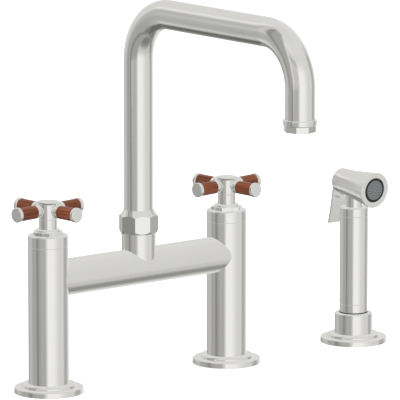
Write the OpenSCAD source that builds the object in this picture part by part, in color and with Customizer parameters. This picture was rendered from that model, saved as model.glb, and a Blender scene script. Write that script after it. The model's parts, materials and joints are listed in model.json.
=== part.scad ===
// Bridge kitchen faucet with cross handles, a squared gooseneck spout and a side spray.
// The deck is the plane Z = 0, X runs along the row of columns and the spout reaches towards -Y.

/* [Layout] */
// Distance between the two columns, centre to centre
column_spacing = 203.2; // [180:0.2:240]
// Distance from the right column to the side spray
spray_spacing = 152.4; // [130:0.2:200]
// Turn of the cross handles from the row direction, in degrees
handle_turn = 5.8; // [-20:0.2:20]
// Thickest deck that the shanks pass through
deck_room = 32; // [25:1:45]

/* [Flanges] */
// Radius of a flange
flange_r = 30.7; // [28:0.1:34]
// Height of a flange's rim
rim_h = 4.9; // [4:0.1:6]
// Radius of a flange's raised step
step_r = 24.4; // [22:0.1:26]
// Height of a flange's top face above the deck
flange_h = 8.2; // [7.5:0.1:10]
// Radius of a rim's rounded edge
rim_round = 0.8; // [0.5:0.1:3.5]
// Radius of the rounded shoulder of a flange's step
shoulder_round = 2.3; // [1:0.1:2.6]
// Thickness of the foam gasket under a flange
gasket_t = 2.2; // [1.5:0.1:3]
// Width of the foam gasket
gasket_w = 4; // [2:0.5:5]

/* [Columns] */
// Radius of a column
column_r = 18; // [17:0.1:19]
// Height of a column's top above the deck
column_h = 142; // [115:0.1:170]
// Height of the cap ring above the seam
cap_h = 10.4; // [9:0.1:12]
// Chamfer round the cap ring's top
cap_chamfer = 1; // [0.5:0.1:2]
// Chamfer on both sides of the seam
seam_chamfer = 0.15; // [0.1:0.05:0.5]

/* [Bridge] */
// Drop of the bridge tube's axis below the columns' tops
bridge_drop = 40.6; // [36:0.1:60]
// Outer radius of the bridge tube
bridge_r = 16.4; // [16:0.1:17]
// Wall of the bridge tube
bridge_wall = 3; // [2:0.1:4]
// Outer radius of the spout socket
socket_r = 15.4; // [14.2:0.1:15.8]
// Rise of the spout socket's top above the bridge tube's axis
socket_rise = 40.6; // [39.6:0.1:58]

/* [Union nut] */
// Number of flats on the union nut
nut_sides = 8; // [6:1:10]
// Radius of the union nut over its corners
nut_r = 17.9; // [17:0.1:19]
// Height of the union nut
nut_h = 21.4; // [20:0.1:26]
// Height of the cone at the top of the union nut
nut_cone_h = 6.3; // [4:0.1:7]
// Height of the chamfer at the foot of the union nut
nut_foot_h = 2.6; // [1:0.1:4]
// Turn of the union nut, in degrees
nut_turn = -3; // [-22:0.5:22]
// Reach of the union nut below the socket's top
nut_overlap = 9.8; // [9:0.1:11]

/* [Spout] */
// Outer radius of the spout tube
spout_r = 13; // [12.6:0.1:13.4]
// Wall of the spout tube
spout_wall = 1.5; // [1:0.1:1.8]
// Horizontal reach from the riser's axis to the outlet's
spout_reach = 224.6; // [180:0.2:260]
// Height of the top run's axis above the deck
spout_z = 333.6; // [310:0.2:380]
// Bend radius at the tube's axis
bend_r = 44.5; // [35:0.5:55]
// Height of the outlet's lower end above the deck
outlet_z = 252.2; // [240:0.2:262]

/* [Outlet] */
// Radius of the collar round the outlet
collar_r = 14.6; // [13.8:0.1:15.4]
// Height of the collar
collar_h = 5.1; // [3:0.1:6]
// Radius of the aerator over its eight corners
aerator_r = 14.1; // [13.2:0.1:15]
// Turn of the aerator, in degrees
aerator_turn = -8; // [-22:0.5:22]
// Height of the aerator's wrench flats
aerator_h = 5.6; // [4:0.1:8]
// Bore of the aerator, as a radius
aerator_bore_r = 9.6; // [8:0.1:10]

/* [Bonnets] */
// Radius of the bonnet over its six corners
bonnet_r = 14.5; // [13.4:0.1:16]
// Height of the bonnet's wrench flats
bonnet_h = 2.9; // [1.5:0.1:4]
// Turn of the left bonnet, in degrees
left_bonnet_turn = -3.7; // [-30:0.1:30]
// Turn of the right bonnet, in degrees
right_bonnet_turn = -25.5; // [-30:0.1:30]
// Radius of the bonnet's round top
bonnet_top_r = 11.2; // [9:0.1:12]
// Height of the bonnet's round top
bonnet_top_h = 1.9; // [1.4:0.1:3]

/* [Handles] */
// Radius of the skirt and the hub
hub_r = 8.1; // [7.2:0.1:8.4]
// Height of the skirt between the bonnet and the hub
skirt_h = 8.8; // [8:0.1:12]
// Height of the hub
hub_h = 13.2; // [12.6:0.1:16]
// Height of the arms' axis above the hub's foot
arm_rise = 7.9; // [7.4:0.1:8.2]
// Radius of the round cap on the hub
hub_cap_r = 9.8; // [8.5:0.1:11]
// Height of the round cap on the hub
hub_cap_h = 2.6; // [2:0.1:4]
// Length of an arm, from the hub's axis to its end
arm_length = 38.2; // [34:0.1:44]
// Start of the wooden grip, from the hub's axis
grip_start = 16; // [14:0.1:18]
// Radius of the wooden grip at its outer end
grip_r = 6.05; // [5.5:0.05:6.4]
// Radius of the wooden grip at its inner end
grip_inner_r = 5.8; // [5.2:0.05:6.2]
// Radius of the metal cap on an arm
arm_cap_r = 6.6; // [6.4:0.1:7.2]
// Thickness of the metal cap on an arm
arm_cap_t = 3.5; // [2.5:0.1:5]

/* [Side spray] */
// Radius of the spray's holder
holder_r = 17.5; // [17:0.1:18.5]
// Height of the spray's holder above its flange
holder_h = 19.3; // [17:0.1:24]
// Radius of the spray's handle
handle_r = 13.1; // [12.6:0.05:13.2]
// Height of the handle's top above the deck
handle_top = 127.2; // [118:0.2:150]
// Height of the upper ring on the handle
top_ring_h = 8.4; // [6:0.1:10]
// Height of the seam above the lower ring, over the deck
low_seam_z = 35.9; // [32:0.1:45]
// Gap between the holder's top and the shoulder of the handle's lower ring
foot_gap = 1.1; // [1:0.1:3]
// Radius of the lower ring inside the holder
foot_ring_r = 11.9; // [10.5:0.1:12]
// Radius of the neck under the spray head
neck_r = 7.55; // [7.2:0.05:8.2]
// Height of the spray head's axis above the handle
head_rise = 21; // [20.5:0.1:23]
// Downward tilt of the spray head, in degrees
head_tilt = 4; // [0:0.5:8]
// Reach of the spray face in front of the handle's axis
head_front = 29.2; // [26:0.1:34]
// Reach of the spray head behind the handle's axis
head_back = 20.4; // [18.6:0.1:22]
// Radius of the spray head at its back
head_back_r = 11.5; // [11.2:0.1:12.4]
// Radius of the spray face
face_r = 16.7; // [15:0.1:18]
// Outer radius of the black ring in the spray face
nozzle_r = 11.5; // [10:0.1:12]
// Radius of the grey nozzle plate
plate_r = 9; // [8:0.1:9.5]

/* [Spray lever] */
// Width of the spray lever
lever_w = 19; // [14:0.5:21]
// Thickness of the spray lever
lever_t = 2.2; // [1.6:0.1:2.6]
// Height of the lever's lower edge above the deck
lever_foot_z = 109; // [104:0.5:112]
// Reach of the lever's lower edge behind the handle's axis
lever_foot_y = 26.5; // [24:0.1:30]

/* [Fits] */
// Gap between fixed pieces that fit together
fit_gap = 0.05; // [0.02:0.01:0.1]
// Radial gap between a turning piece and its seat
turn_gap = 0.1; // [0.05:0.01:0.1]
// Free gap round a moving piece
free_gap = 0.35; // [0.3:0.05:0.5]

/* [Hidden] */
$fn = 96;
// Overrun of every cut past the face that it opens
over = 1;
// Steps in each rounded edge
edge_steps = 6;
sides = [-1, 1];
column_x = column_spacing / 2;
spray_x = column_x + spray_spacing;
row_x = [-column_x, column_x, spray_x];
seam_z = column_h - cap_h;
bridge_z = column_h - bridge_drop;
socket_top = bridge_z + socket_rise;

// Shanks and what clamps them under the deck
spigot_r = 12.9;
neck_shank_r = 10.9;
thread_r = 10.5;
tail_r = 10.2;
shank_bore_r = 6.5;
hose_bore_r = 8.5;
spigot_rise = 16;
spray_seat_h = 4;
thread_l = 16;
tail_l = 14;
shank_chamfer = 0.8;
clamp_slack = 0.5;
rubber_t = 3;
steel_t = 1.6;
clamp_r = 19;
mount_nut_r = 17;
mount_nut_h = 8;
rubber_top = -deck_room - clamp_slack;
steel_top = rubber_top - rubber_t;
mount_nut_top = steel_top - steel_t;
thread_end = -deck_room - thread_l;
tail_end = thread_end - tail_l;
gasket_r = step_r - gasket_w / 2;

// Valve inside a column, from its seat upwards
web_t = 6;
web_port_r = 6;
port_r = 8;
port_drop = 11.4;
seat_z = bridge_z - port_drop;
disc_t = 3.5;
fixed_disc_r = 9.2;
moving_disc_r = 9;
disc_hole_r = 2.4;
disc_hole_at = 5;
chamber_r = 9.5;
chamber_h = 18;
cartridge_r = 11.5;
annulus_r = 12.6;
annulus_h = 22;
window_r = 5;
flange_ring_r = 12.8;
flange_ring_below = 4;
flange_ring_above = 2;
cartridge_neck_r = 5.2;
cartridge_neck_share = 0.6;
cartridge_neck_top = column_h + bonnet_h + bonnet_top_h + skirt_h * cartridge_neck_share;
stem_r = 3.95;
driver_r = 8.8;
driver_t = 2.5;
bonnet_thread_r = 12.9;
bonnet_bore_r = 6;
bonnet_top_round = 1.1;
skirt_bore_r = cartridge_neck_r + free_gap;
nipple_r = bridge_r - bridge_wall - fit_gap;
nipple_l = 12;

// Handle, from the bonnet upwards
skirt_z = column_h + bonnet_h + bonnet_top_h + free_gap;
hub_z = skirt_z + skirt_h;
arm_z = hub_z + arm_rise;
hub_top = hub_z + hub_h;
rod_r = 2.5;
rod_start = 4.4;
collar_neck_r = 3.3;
collar_dome_start = 9.2;
collar_dome_end = 13.4;
cap_socket_depth = 1.6;
arm_cap_chamfer = 0.5;
hub_cap_round = 0.4;
screw_r = 2;
screw_head_r = 3.4;
screw_head_h = 2;
screw_reach = 6;
stem_top = arm_z - rod_r - fit_gap - over;
stem_thread_depth = screw_reach + over;
arm_angles = [for (i = [0:3]) handle_turn + 90 * i];

// Spout foot inside the socket and the union nut
nut_z = socket_top - nut_overlap;
nut_foot_r = 16.2;
nut_cone_steps = [[0, 0], [0.52, 0.44], [1, 1]];
nut_bore_r = spout_r + free_gap;
nut_shoulder_rise = 5.5;
nut_shoulder_z = socket_top + nut_shoulder_rise;
washer_t = 1;
foot_r = 10.5;
foot_depth = 14;
foot_bore_r = 6.5;
foot_collar_r = 12.95;
foot_collar_h = 5;
foot_spigot_r = spout_r - spout_wall - fit_gap;
foot_spigot_h = 12;
foot_z = socket_top - foot_depth;
foot_collar_z = socket_top + washer_t;
tube_z = foot_collar_z + foot_collar_h;
ring_r = socket_r - free_gap;
ring_groove_r = 11.8;
ring_t = 1.8;
ring_groove_t = 2;
ring_rise = 1.2;
ring_split = 2;
oring_r = 1.1;
oring_groove_w = 2.4;
oring_groove_r = 8.2;
oring_rises = [3.2, 8.6];
socket_bore_r = foot_r + turn_gap;
socket_foot_z = foot_z - washer_t;
socket_spigot_r = 11;
socket_spigot_rise = 6.6;
socket_spigot_z = bridge_z + socket_spigot_rise;

// Diverter in the spout socket
diverter_r = 7.9;
diverter_bore_r = 5.6;
diverter_end_t = 1.5;
diverter_port_r = 3.5;
diverter_lip_h = 4;
diverter_z = socket_spigot_z + diverter_lip_h;
diverter_h = socket_foot_z - diverter_z;
piston_r = diverter_bore_r - free_gap;
piston_h = 5;
piston_z = diverter_z + diverter_end_t;
diverter_spring_z = piston_z + piston_h;
diverter_spring_h = diverter_h - 2 * diverter_end_t - piston_h;
diverter_wire_r = 0.4;
diverter_coil_r = 4;

// Outlet
tube_end = outlet_z + aerator_h;
aerator_spigot_r = spout_r - spout_wall - fit_gap;
aerator_spigot_h = 8;
aerator_sides = 8;
screen_recess = 1.2;
screen_t = 6;
screen_hole_r = 1.1;
screen_rings = [0, 3.3, 6.6];
screen_ring_step = 6;
outlet_washer_t = 1.6;
outlet_washer_bore_r = 7.5;
collar_round = 0.8;

// Spray holder and handle
spray_seat_z = flange_h + spray_seat_h;
holder_top = flange_h + holder_h;
liner_t = 1.1;
liner_r = foot_ring_r + free_gap + liner_t;
liner_lip_t = 0.65;
holder_chamfer = 0.8;
handle_foot = spray_seat_z + free_gap;
high_seam_z = handle_top - top_ring_h;
handle_wall = 2;
ring_chamfer = 0.9;
neck_depth = 6;
waterway_r = 4.2;
connector_r = 7.9;
connector_bore_r = 4;
connector_top = 30;
connector_foot = -6;
hose_thread_r = 6.6;
hose_thread_l = 12;

// Spray head, along its own axis with the face in front
head_z = handle_top + head_rise;
head_round = 2.7;
face_round = 0.8;
flare_start = -16;
flare_power = 1.38;
flare_steps = 16;
nozzle_depth = 6;
plate_rise = 0.4;
plate_t = 3;
jet_r = 0.55;
jet_rings = [2.4, 4.8, 7.2];
jet_ring_step = 6;
jet_depth = 0.8;
nozzle_port_r = 3.5;

// Lever, its pin and the valve plunger that it lifts
pin_y = 14.2;
pin_drop = 3.6;
pin_z = head_z - pin_drop;
pin_r = 1.2;
pin_blind = 7;
pin_out = 10.2;
lug_r = 2.8;
lug_w = 6.6;
slot_w = lug_w + 2 * free_gap;
slot_play = 0.5;
slot_rise = 4.4;
slot_top = pin_z + slot_rise;
nose_reach = 5.4;
nose_top = 0.8;
nose_t = 2;
lever_top_y = 19.4;
lever_mid_y = 22.4;
lever_mid_share = 0.5;
lever_web_z = 136.5;
lever_web_t = 2.4;
plunger_y = 9.9;
plunger_r = 1.3;
plunger_l = 7;
plunger_z = pin_z + nose_top + free_gap;
plunger_spring_h = 4.8;
plunger_wire_r = 0.22;
plunger_coil_r = 1;
spring_turns = 4;
spring_ring_sides = 8;
spring_turn_steps = 16;

// Colours
nickel = [0.83, 0.82, 0.79];
brass = [0.80, 0.66, 0.38];
steel = [0.70, 0.71, 0.72];
wood = [0.55, 0.27, 0.17];
rubber = [0.10, 0.10, 0.10];
ceramic = [0.93, 0.92, 0.88];
acetal = [0.90, 0.90, 0.86];
nozzle_grey = [0.45, 0.47, 0.48];

// Points of an arc about a centre
function arc(centre, r, from, to) = [
    for (i = [0:edge_steps])
        let (a = from + (to - from) * i / edge_steps)
            [centre[0] + r * cos(a), centre[1] + r * sin(a)]
];

// A ring standing on the plane z
module ring(outer_r, inner_r, z, h) {
    difference() {
        translate([0, 0, z]) cylinder(r = outer_r, h = h);
        bore(inner_r, z, h);
    }
}

// The cut for a round hole that is open at both ends
module bore(r, z, h) {
    translate([0, 0, z - over]) cylinder(r = r, h = h + 2 * over);
}

// The cut for a round hole between two heights
module pocket(r, z, top) {
    translate([0, 0, z]) cylinder(r = r, h = top - z);
}

// A coil spring of round wire between two heights, as one unbroken tube
module spring(coil_r, wire_r, z, h) {
    steps = spring_turns * spring_turn_steps;
    rise = h - 2 * wire_r;
    points = [
        for (i = [0:steps])
            let (a = 360 * i / spring_turn_steps, centre_z = z + wire_r + rise * i / steps)
                for (j = [0:spring_ring_sides - 1])
                    let (b = 360 * j / spring_ring_sides, r = coil_r + wire_r * cos(b))
                        [r * cos(a), r * sin(a), centre_z + wire_r * sin(b)]
    ];
    first = [for (j = [0:spring_ring_sides - 1]) j];
    last = [for (j = [spring_ring_sides - 1:-1:0]) steps * spring_ring_sides + j];
    walls = [
        for (i = [0:steps - 1])
            for (j = [0:spring_ring_sides - 1])
                let (k = (j + 1) % spring_ring_sides, low = i * spring_ring_sides,
                     high = low + spring_ring_sides)
                    each [[low + j, high + j, low + k], [low + k, high + j, high + k]]
    ];
    polyhedron(points = points, faces = concat([first], [last], walls));
}

// Flange with a rounded rim, a raised step and a groove for its gasket
module flange(x) {
    cove = flange_h - rim_h - shoulder_round;
    profile = concat(
        [[0, 0], [flange_r, 0]],
        arc([flange_r - rim_round, rim_h - rim_round], rim_round, 0, 90),
        arc([step_r + cove, rim_h + cove], cove, 270, 180),
        arc([step_r - shoulder_round, flange_h - shoulder_round], shoulder_round, 0, 90),
        [[0, flange_h]]
    );
    color(nickel) translate([x, 0, 0]) difference() {
        rotate_extrude() polygon(profile);
        bore(spigot_r + fit_gap, 0, flange_h);
        translate([0, 0, -over]) ring(gasket_r + gasket_w, gasket_r, 0, over + gasket_t);
    }
}

// Foam gaskets under the three flanges, and the rubber washers under the deck
module deck_gaskets() {
    color(rubber) for (x = row_x) translate([x, 0, 0]) {
        ring(gasket_r + gasket_w - fit_gap, gasket_r + fit_gap, 0, gasket_t);
        ring(clamp_r, thread_r + fit_gap, rubber_top - rubber_t, rubber_t);
    }
}

// Shank with a spigot in the column, a plain neck in the deck, a thread and a tail
module shank(x, top, bore_r) {
    color(brass) translate([x, 0, 0]) difference() {
        union() {
            pocket(spigot_r, 0, top);
            pocket(neck_shank_r, -deck_room, 0);
            pocket(thread_r, thread_end, -deck_room);
            pocket(tail_r, tail_end + shank_chamfer, thread_end);
            translate([0, 0, tail_end])
                cylinder(r1 = tail_r - shank_chamfer, r2 = tail_r, h = shank_chamfer);
        }
        bore(bore_r, tail_end, top - tail_end);
    }
}

module threaded_shanks() {
    for (side = sides) shank(side * column_x, flange_h + spigot_rise, shank_bore_r);
    shank(spray_x, spray_seat_z, hose_bore_r);
}

module steel_washers() {
    color(steel) for (x = row_x) translate([x, 0, 0])
        ring(clamp_r, thread_r + fit_gap, steel_top - steel_t, steel_t);
}

module mounting_nuts() {
    color(brass) for (x = row_x) translate([x, 0, mount_nut_top - mount_nut_h]) difference() {
        cylinder(r = mount_nut_r, h = mount_nut_h, $fn = 6);
        bore(thread_r + fit_gap, 0, mount_nut_h);
    }
}

// Column with its valve seat and the nipple that carries the bridge tube
module column(side) {
    color(nickel) translate([side * column_x, 0, 0]) difference() {
        union() {
            rotate_extrude() polygon([
                [0, flange_h], [column_r, flange_h], [column_r, seam_z - seam_chamfer],
                [column_r - seam_chamfer, seam_z], [0, seam_z]
            ]);
            nipple_bar(side, nipple_r, column_r + nipple_l);
        }
        pocket(spigot_r + fit_gap, flange_h - over, seat_z - web_t);
        bore(web_port_r, seat_z - web_t, web_t);
        pocket(cartridge_r + fit_gap, seat_z, seam_z);
        pocket(annulus_r, seat_z + disc_t, seat_z + annulus_h);
        pocket(flange_ring_r + fit_gap, seam_z - flange_ring_below, seam_z + over);
        nipple_bar(side, port_r, column_r + nipple_l + over);
    }
}

// A bar from the column's axis towards the bridge
module nipple_bar(side, r, length) {
    translate([0, 0, bridge_z]) rotate([0, -side * 90, 0]) cylinder(r = r, h = length);
}

// Ring above the seam, with a chamfered top
module column_cap(side) {
    color(nickel) translate([side * column_x, 0, 0]) difference() {
        rotate_extrude() polygon([
            [0, seam_z], [column_r - seam_chamfer, seam_z], [column_r, seam_z + seam_chamfer],
            [column_r, column_h - cap_chamfer], [column_r - cap_chamfer, column_h], [0, column_h]
        ]);
        bore(bonnet_thread_r + fit_gap, seam_z, cap_h);
    }
}

// Tube between the columns, coped onto them, with a hole for the spout socket
module bridge_tube() {
    color(nickel) difference() {
        row_bar(bridge_r, 0);
        row_bar(bridge_r - bridge_wall, over);
        for (side = sides) translate([side * column_x, 0, 0])
            bore(column_r + fit_gap, bridge_z - bridge_r, 2 * bridge_r);
        pocket(socket_spigot_r + fit_gap, bridge_z, bridge_z + bridge_r + over);
    }
}

// A bar along the row between the columns' axes, longer by extra at each end
module row_bar(r, extra) {
    translate([-column_x - extra, 0, bridge_z]) rotate([0, 90, 0])
        cylinder(r = r, h = column_spacing + 2 * extra);
}

// Socket coped onto the bridge tube, bored for the diverter and the spout's foot
module spout_socket() {
    color(nickel) difference() {
        union() {
            difference() {
                pocket(socket_r, bridge_z, socket_top);
                row_bar(bridge_r + fit_gap, 0);
            }
            pocket(socket_spigot_r, socket_spigot_z, socket_top);
        }
        pocket(diverter_bore_r, socket_spigot_z - over, diverter_z + over);
        pocket(diverter_r + fit_gap, diverter_z, socket_foot_z + over);
        pocket(socket_bore_r, socket_foot_z, socket_top + over);
    }
}

// Union nut with flats, a hollow cone on top and a chamfered foot
module spout_nut() {
    nut_top = nut_z + nut_h;
    cone_w = nut_r - nut_bore_r - fit_gap;
    cone = [for (step = nut_cone_steps) [nut_r - cone_w * step[0], nut_top - nut_cone_h * (1 - step[1])]];
    // Both slopes run on past the corners, so that they cross the corners cleanly
    foot_slope = nut_foot_h / (nut_r - nut_foot_r);
    cone_slope = (cone[1][1] - cone[0][1]) / (cone[0][0] - cone[1][0]);
    color(nickel) difference() {
        intersection() {
            translate([0, 0, nut_z]) rotate([0, 0, nut_turn - 90])
                cylinder(r = nut_r, h = nut_h, $fn = nut_sides);
            rotate_extrude() polygon(concat(
                [[0, nut_z], [nut_foot_r, nut_z]],
                [[nut_r + over, nut_z + nut_foot_h + over * foot_slope]],
                [[nut_r + over, cone[0][1] - over * cone_slope]],
                [for (i = [1:len(cone) - 1]) cone[i]],
                [[0, nut_top]]
            ));
        }
        pocket(socket_r + fit_gap, nut_z - over, nut_shoulder_z);
        bore(nut_bore_r, nut_z, nut_h);
    }
}

module thrust_washer() {
    color(acetal) ring(foot_collar_r, socket_bore_r + free_gap, socket_top, washer_t);
}

// Bonnet that screws into the column cap, with six flats and a rounded shoulder
module bonnet(side) {
    tier_z = column_h + bonnet_h;
    top = tier_z + bonnet_top_h;
    cove = bonnet_top_h - bonnet_top_round;
    turn = side < 0 ? left_bonnet_turn : right_bonnet_turn;
    color(nickel) translate([side * column_x, 0, 0]) difference() {
        union() {
            pocket(bonnet_thread_r, seam_z + flange_ring_above, column_h);
            translate([0, 0, column_h]) rotate([0, 0, turn]) cylinder(r = bonnet_r, h = bonnet_h, $fn = 6);
            rotate_extrude() polygon(concat(
                [[0, tier_z - over]], [[bonnet_top_r + cove, tier_z - over]],
                arc([bonnet_top_r + cove, tier_z + cove], cove, 270, 180),
                arc([bonnet_top_r - bonnet_top_round, top - bonnet_top_round], bonnet_top_round, 0, 90),
                [[0, top]]
            ));
        }
        bore(bonnet_bore_r, seam_z, cap_h + bonnet_h + bonnet_top_h);
    }
}

// Body of the ceramic valve, with windows that let the water out sideways
module cartridge(side) {
    chamber_top = seat_z + chamber_h;
    color(brass) translate([side * column_x, 0, 0]) difference() {
        union() {
            pocket(cartridge_r, seat_z, seam_z);
            pocket(flange_ring_r, seam_z - flange_ring_below, seam_z + flange_ring_above);
            pocket(cartridge_neck_r, seam_z, cartridge_neck_top);
        }
        pocket(chamber_r, seat_z - over, chamber_top);
        bore(stem_r + turn_gap, chamber_top, cartridge_neck_top - chamber_top);
        for (turn = [0, 90]) translate([0, 0, bridge_z]) rotate([90, 0, turn])
            cylinder(r = window_r, h = 2 * (cartridge_r + over), center = true);
    }
}

// Ceramic disc with two ports at the given turn
module valve_disc(side, r, z, turn) {
    color(ceramic) translate([side * column_x, 0, 0]) difference() {
        pocket(r, z, z + disc_t);
        for (way = sides) rotate([0, 0, turn]) translate([way * disc_hole_at, 0, 0])
            bore(disc_hole_r, z, disc_t);
    }
}

module fixed_discs() {
    for (side = sides) valve_disc(side, fixed_disc_r, seat_z, 0);
}

module moving_disc(side) {
    valve_disc(side, moving_disc_r, seat_z + disc_t, 90);
}

// Stem that turns the moving disc, drilled at its top for the handle's screw
module stem(side) {
    foot = seat_z + 2 * disc_t;
    color(brass) translate([side * column_x, 0, 0]) difference() {
        union() {
            pocket(driver_r, foot, foot + driver_t);
            pocket(stem_r, foot, stem_top);
        }
        pocket(screw_r + fit_gap, stem_top - stem_thread_depth, stem_top + over);
    }
}

module skirt(side) {
    color(nickel) translate([side * column_x, 0, 0]) ring(hub_r, skirt_bore_r, skirt_z, skirt_h);
}

// Places a piece along each of the four arms, pointing outwards
module on_arms(side) {
    for (a = arm_angles) translate([side * column_x, 0, arm_z]) rotate([0, 90, a]) children();
}

module hub(side) {
    screw_seat = hub_top - screw_head_h - free_gap;
    color(nickel) difference() {
        translate([side * column_x, 0, 0]) difference() {
            pocket(hub_r, hub_z, hub_top);
            pocket(stem_r + fit_gap, hub_z - over, stem_top + fit_gap);
            bore(screw_r + fit_gap, hub_z, hub_h);
            pocket(screw_head_r + fit_gap, screw_seat, hub_top + over);
        }
        on_arms(side) cylinder(r = rod_r + fit_gap, h = hub_r + over);
    }
}

// Four rods that screw into the hub, each with a domed collar that meets the wooden grip
module arm_rods(side) {
    dome_h = collar_dome_end - collar_dome_start;
    color(nickel) {
        on_arms(side) pocket(rod_r, rod_start, arm_length - arm_cap_t + cap_socket_depth);
        difference() {
            on_arms(side) rotate_extrude() polygon(concat(
                [[0, rod_start], [collar_neck_r, rod_start]],
                [for (i = [0:edge_steps]) let (a = 90 * i / edge_steps) [
                    collar_neck_r + (grip_inner_r - collar_neck_r) * sin(a),
                    collar_dome_start + dome_h * (1 - cos(a))
                ]],
                [[grip_inner_r, grip_start], [0, grip_start]]
            ));
            translate([side * column_x, 0, 0]) bore(hub_r + fit_gap, hub_z, hub_h);
        }
    }
}

module wood_grips(side) {
    length = arm_length - arm_cap_t - grip_start;
    color(wood) on_arms(side) difference() {
        translate([0, 0, grip_start]) cylinder(r1 = grip_inner_r, r2 = grip_r, h = length);
        bore(rod_r + fit_gap, grip_start, length);
    }
}

// Flat metal caps on the arms and the flared cap on the hub
module handle_caps(side) {
    foot = arm_length - arm_cap_t;
    c = arm_cap_chamfer;
    flare_w = hub_cap_r - hub_cap_round - hub_r;
    flare_h = hub_cap_h - 2 * hub_cap_round;
    color(nickel) {
        on_arms(side) difference() {
            rotate_extrude() polygon([
                [0, foot], [arm_cap_r - c, foot], [arm_cap_r, foot + c],
                [arm_cap_r, arm_length - c], [arm_cap_r - c, arm_length], [0, arm_length]
            ]);
            pocket(rod_r + fit_gap, foot - over, foot + cap_socket_depth + fit_gap);
        }
        translate([side * column_x, 0, 0]) rotate_extrude() polygon(concat(
            [[0, hub_top]],
            [for (i = [0:edge_steps]) let (a = 90 * i / edge_steps)
                [hub_r + flare_w * (1 - cos(a)), hub_top + flare_h * sin(a)]],
            arc([hub_cap_r - hub_cap_round, hub_top + hub_cap_h - hub_cap_round], hub_cap_round, -90, 90),
            [[0, hub_top + hub_cap_h]]
        ));
    }
}

module handle_screw(side) {
    seat = hub_top - screw_head_h - free_gap + fit_gap;
    color(steel) translate([side * column_x, 0, 0]) {
        pocket(screw_r, stem_top - screw_reach, seat);
        pocket(screw_head_r, seat, seat + screw_head_h);
    }
}

// The path of the spout as a solid bar of the given radius, longer by extra at each end
module spout_bar(r, extra) {
    run_z = spout_z - bend_r;
    pocket(r, tube_z - extra, run_z);
    translate([0, -bend_r, run_z]) rotate([90, 0, 90]) bend(r);
    translate([0, -bend_r, spout_z]) rotate([90, 0, 0]) cylinder(r = r, h = spout_reach - 2 * bend_r);
    translate([0, bend_r - spout_reach, run_z]) rotate([90, 0, 90]) rotate([0, 0, 90]) bend(r);
    translate([0, -spout_reach, 0]) pocket(r, tube_end - extra, run_z);
}

module bend(r) {
    rotate_extrude(angle = 90) translate([bend_r, 0]) circle(r = r);
}

module spout_tube() {
    color(nickel) difference() {
        spout_bar(spout_r, 0);
        spout_bar(spout_r - spout_wall, over);
    }
}

// Foot of the spout: a plug in the socket, a collar with a groove and a spigot in the tube
module spout_foot() {
    color(brass) difference() {
        union() {
            pocket(foot_r, foot_z, foot_collar_z);
            pocket(foot_collar_r, foot_collar_z, tube_z);
            pocket(foot_spigot_r, tube_z, tube_z + foot_spigot_h);
        }
        bore(foot_bore_r, foot_z, tube_z + foot_spigot_h - foot_z);
        ring(foot_collar_r + over, ring_groove_r, foot_collar_z + ring_rise, ring_groove_t);
        for (rise = oring_rises)
            ring(foot_r + over, oring_groove_r, foot_z + rise - oring_groove_w / 2, oring_groove_w);
    }
}

// Two O-rings on the spout's foot and the flat washer above the aerator
module spout_seals() {
    color(rubber) {
        for (rise = oring_rises) translate([0, 0, foot_z + rise])
            rotate_extrude() translate([foot_r - oring_r, 0]) circle(r = oring_r);
        translate([0, -spout_reach, 0])
            ring(aerator_spigot_r, outlet_washer_bore_r, tube_end + aerator_spigot_h, outlet_washer_t);
    }
}

// Split ring that keeps the spout's foot under the union nut
module retaining_ring() {
    z = foot_collar_z + ring_rise + (ring_groove_t - ring_t) / 2;
    color(steel) difference() {
        ring(ring_r, ring_groove_r + fit_gap, z, ring_t);
        translate([0, -ring_split / 2, z - over]) cube([ring_r + over, ring_split, ring_t + 2 * over]);
    }
}

module spout_collar() {
    color(nickel) translate([0, -spout_reach, tube_end]) difference() {
        rotate_extrude() polygon(concat(
            [[0, 0]],
            arc([collar_r - collar_round, collar_round], collar_round, -90, 0),
            arc([collar_r - collar_round, collar_h - collar_round], collar_round, 0, 90),
            [[0, collar_h]]
        ));
        bore(spout_r + fit_gap, 0, collar_h);
    }
}

// Aerator housing with eight wrench flats below the collar and a spigot in the tube
module aerator_housing() {
    color(nickel) translate([0, -spout_reach, outlet_z]) difference() {
        union() {
            rotate([0, 0, aerator_turn - 90]) cylinder(r = aerator_r, h = aerator_h, $fn = aerator_sides);
            pocket(aerator_spigot_r, 0, aerator_h + aerator_spigot_h);
        }
        bore(aerator_bore_r, 0, aerator_h + aerator_spigot_h);
    }
}

// Outlet screen with rings of holes
module aerator_screen() {
    z = outlet_z + screen_recess;
    color(acetal) translate([0, -spout_reach, 0]) difference() {
        pocket(aerator_bore_r - fit_gap, z, z + screen_t);
        for (k = [0:len(screen_rings) - 1])
            let (count = max(1, screen_ring_step * k))
                for (i = [1:count]) rotate([0, 0, 360 * i / count]) translate([screen_rings[k], 0, 0])
                    bore(screen_hole_r, z, screen_t);
    }
}

module diverter_body() {
    color(acetal) difference() {
        pocket(diverter_r, diverter_z, diverter_z + diverter_h);
        pocket(diverter_bore_r, diverter_z + diverter_end_t, diverter_z + diverter_h - diverter_end_t);
        bore(diverter_port_r, diverter_z, diverter_h);
    }
}

module diverter_piston() {
    color(rubber) pocket(piston_r, piston_z, piston_z + piston_h);
}

module diverter_spring() {
    color(steel) spring(diverter_coil_r, diverter_wire_r, diverter_spring_z, diverter_spring_h);
}

// Holder that the spray's handle stands in
module spray_holder() {
    c = holder_chamfer;
    color(nickel) translate([spray_x, 0, 0]) difference() {
        rotate_extrude() polygon([
            [0, flange_h], [holder_r, flange_h], [holder_r, holder_top - c],
            [holder_r - c, holder_top], [0, holder_top]
        ]);
        bore(spigot_r + fit_gap, flange_h, spray_seat_h);
        pocket(liner_r + fit_gap, spray_seat_z, holder_top + over);
    }
}

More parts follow.
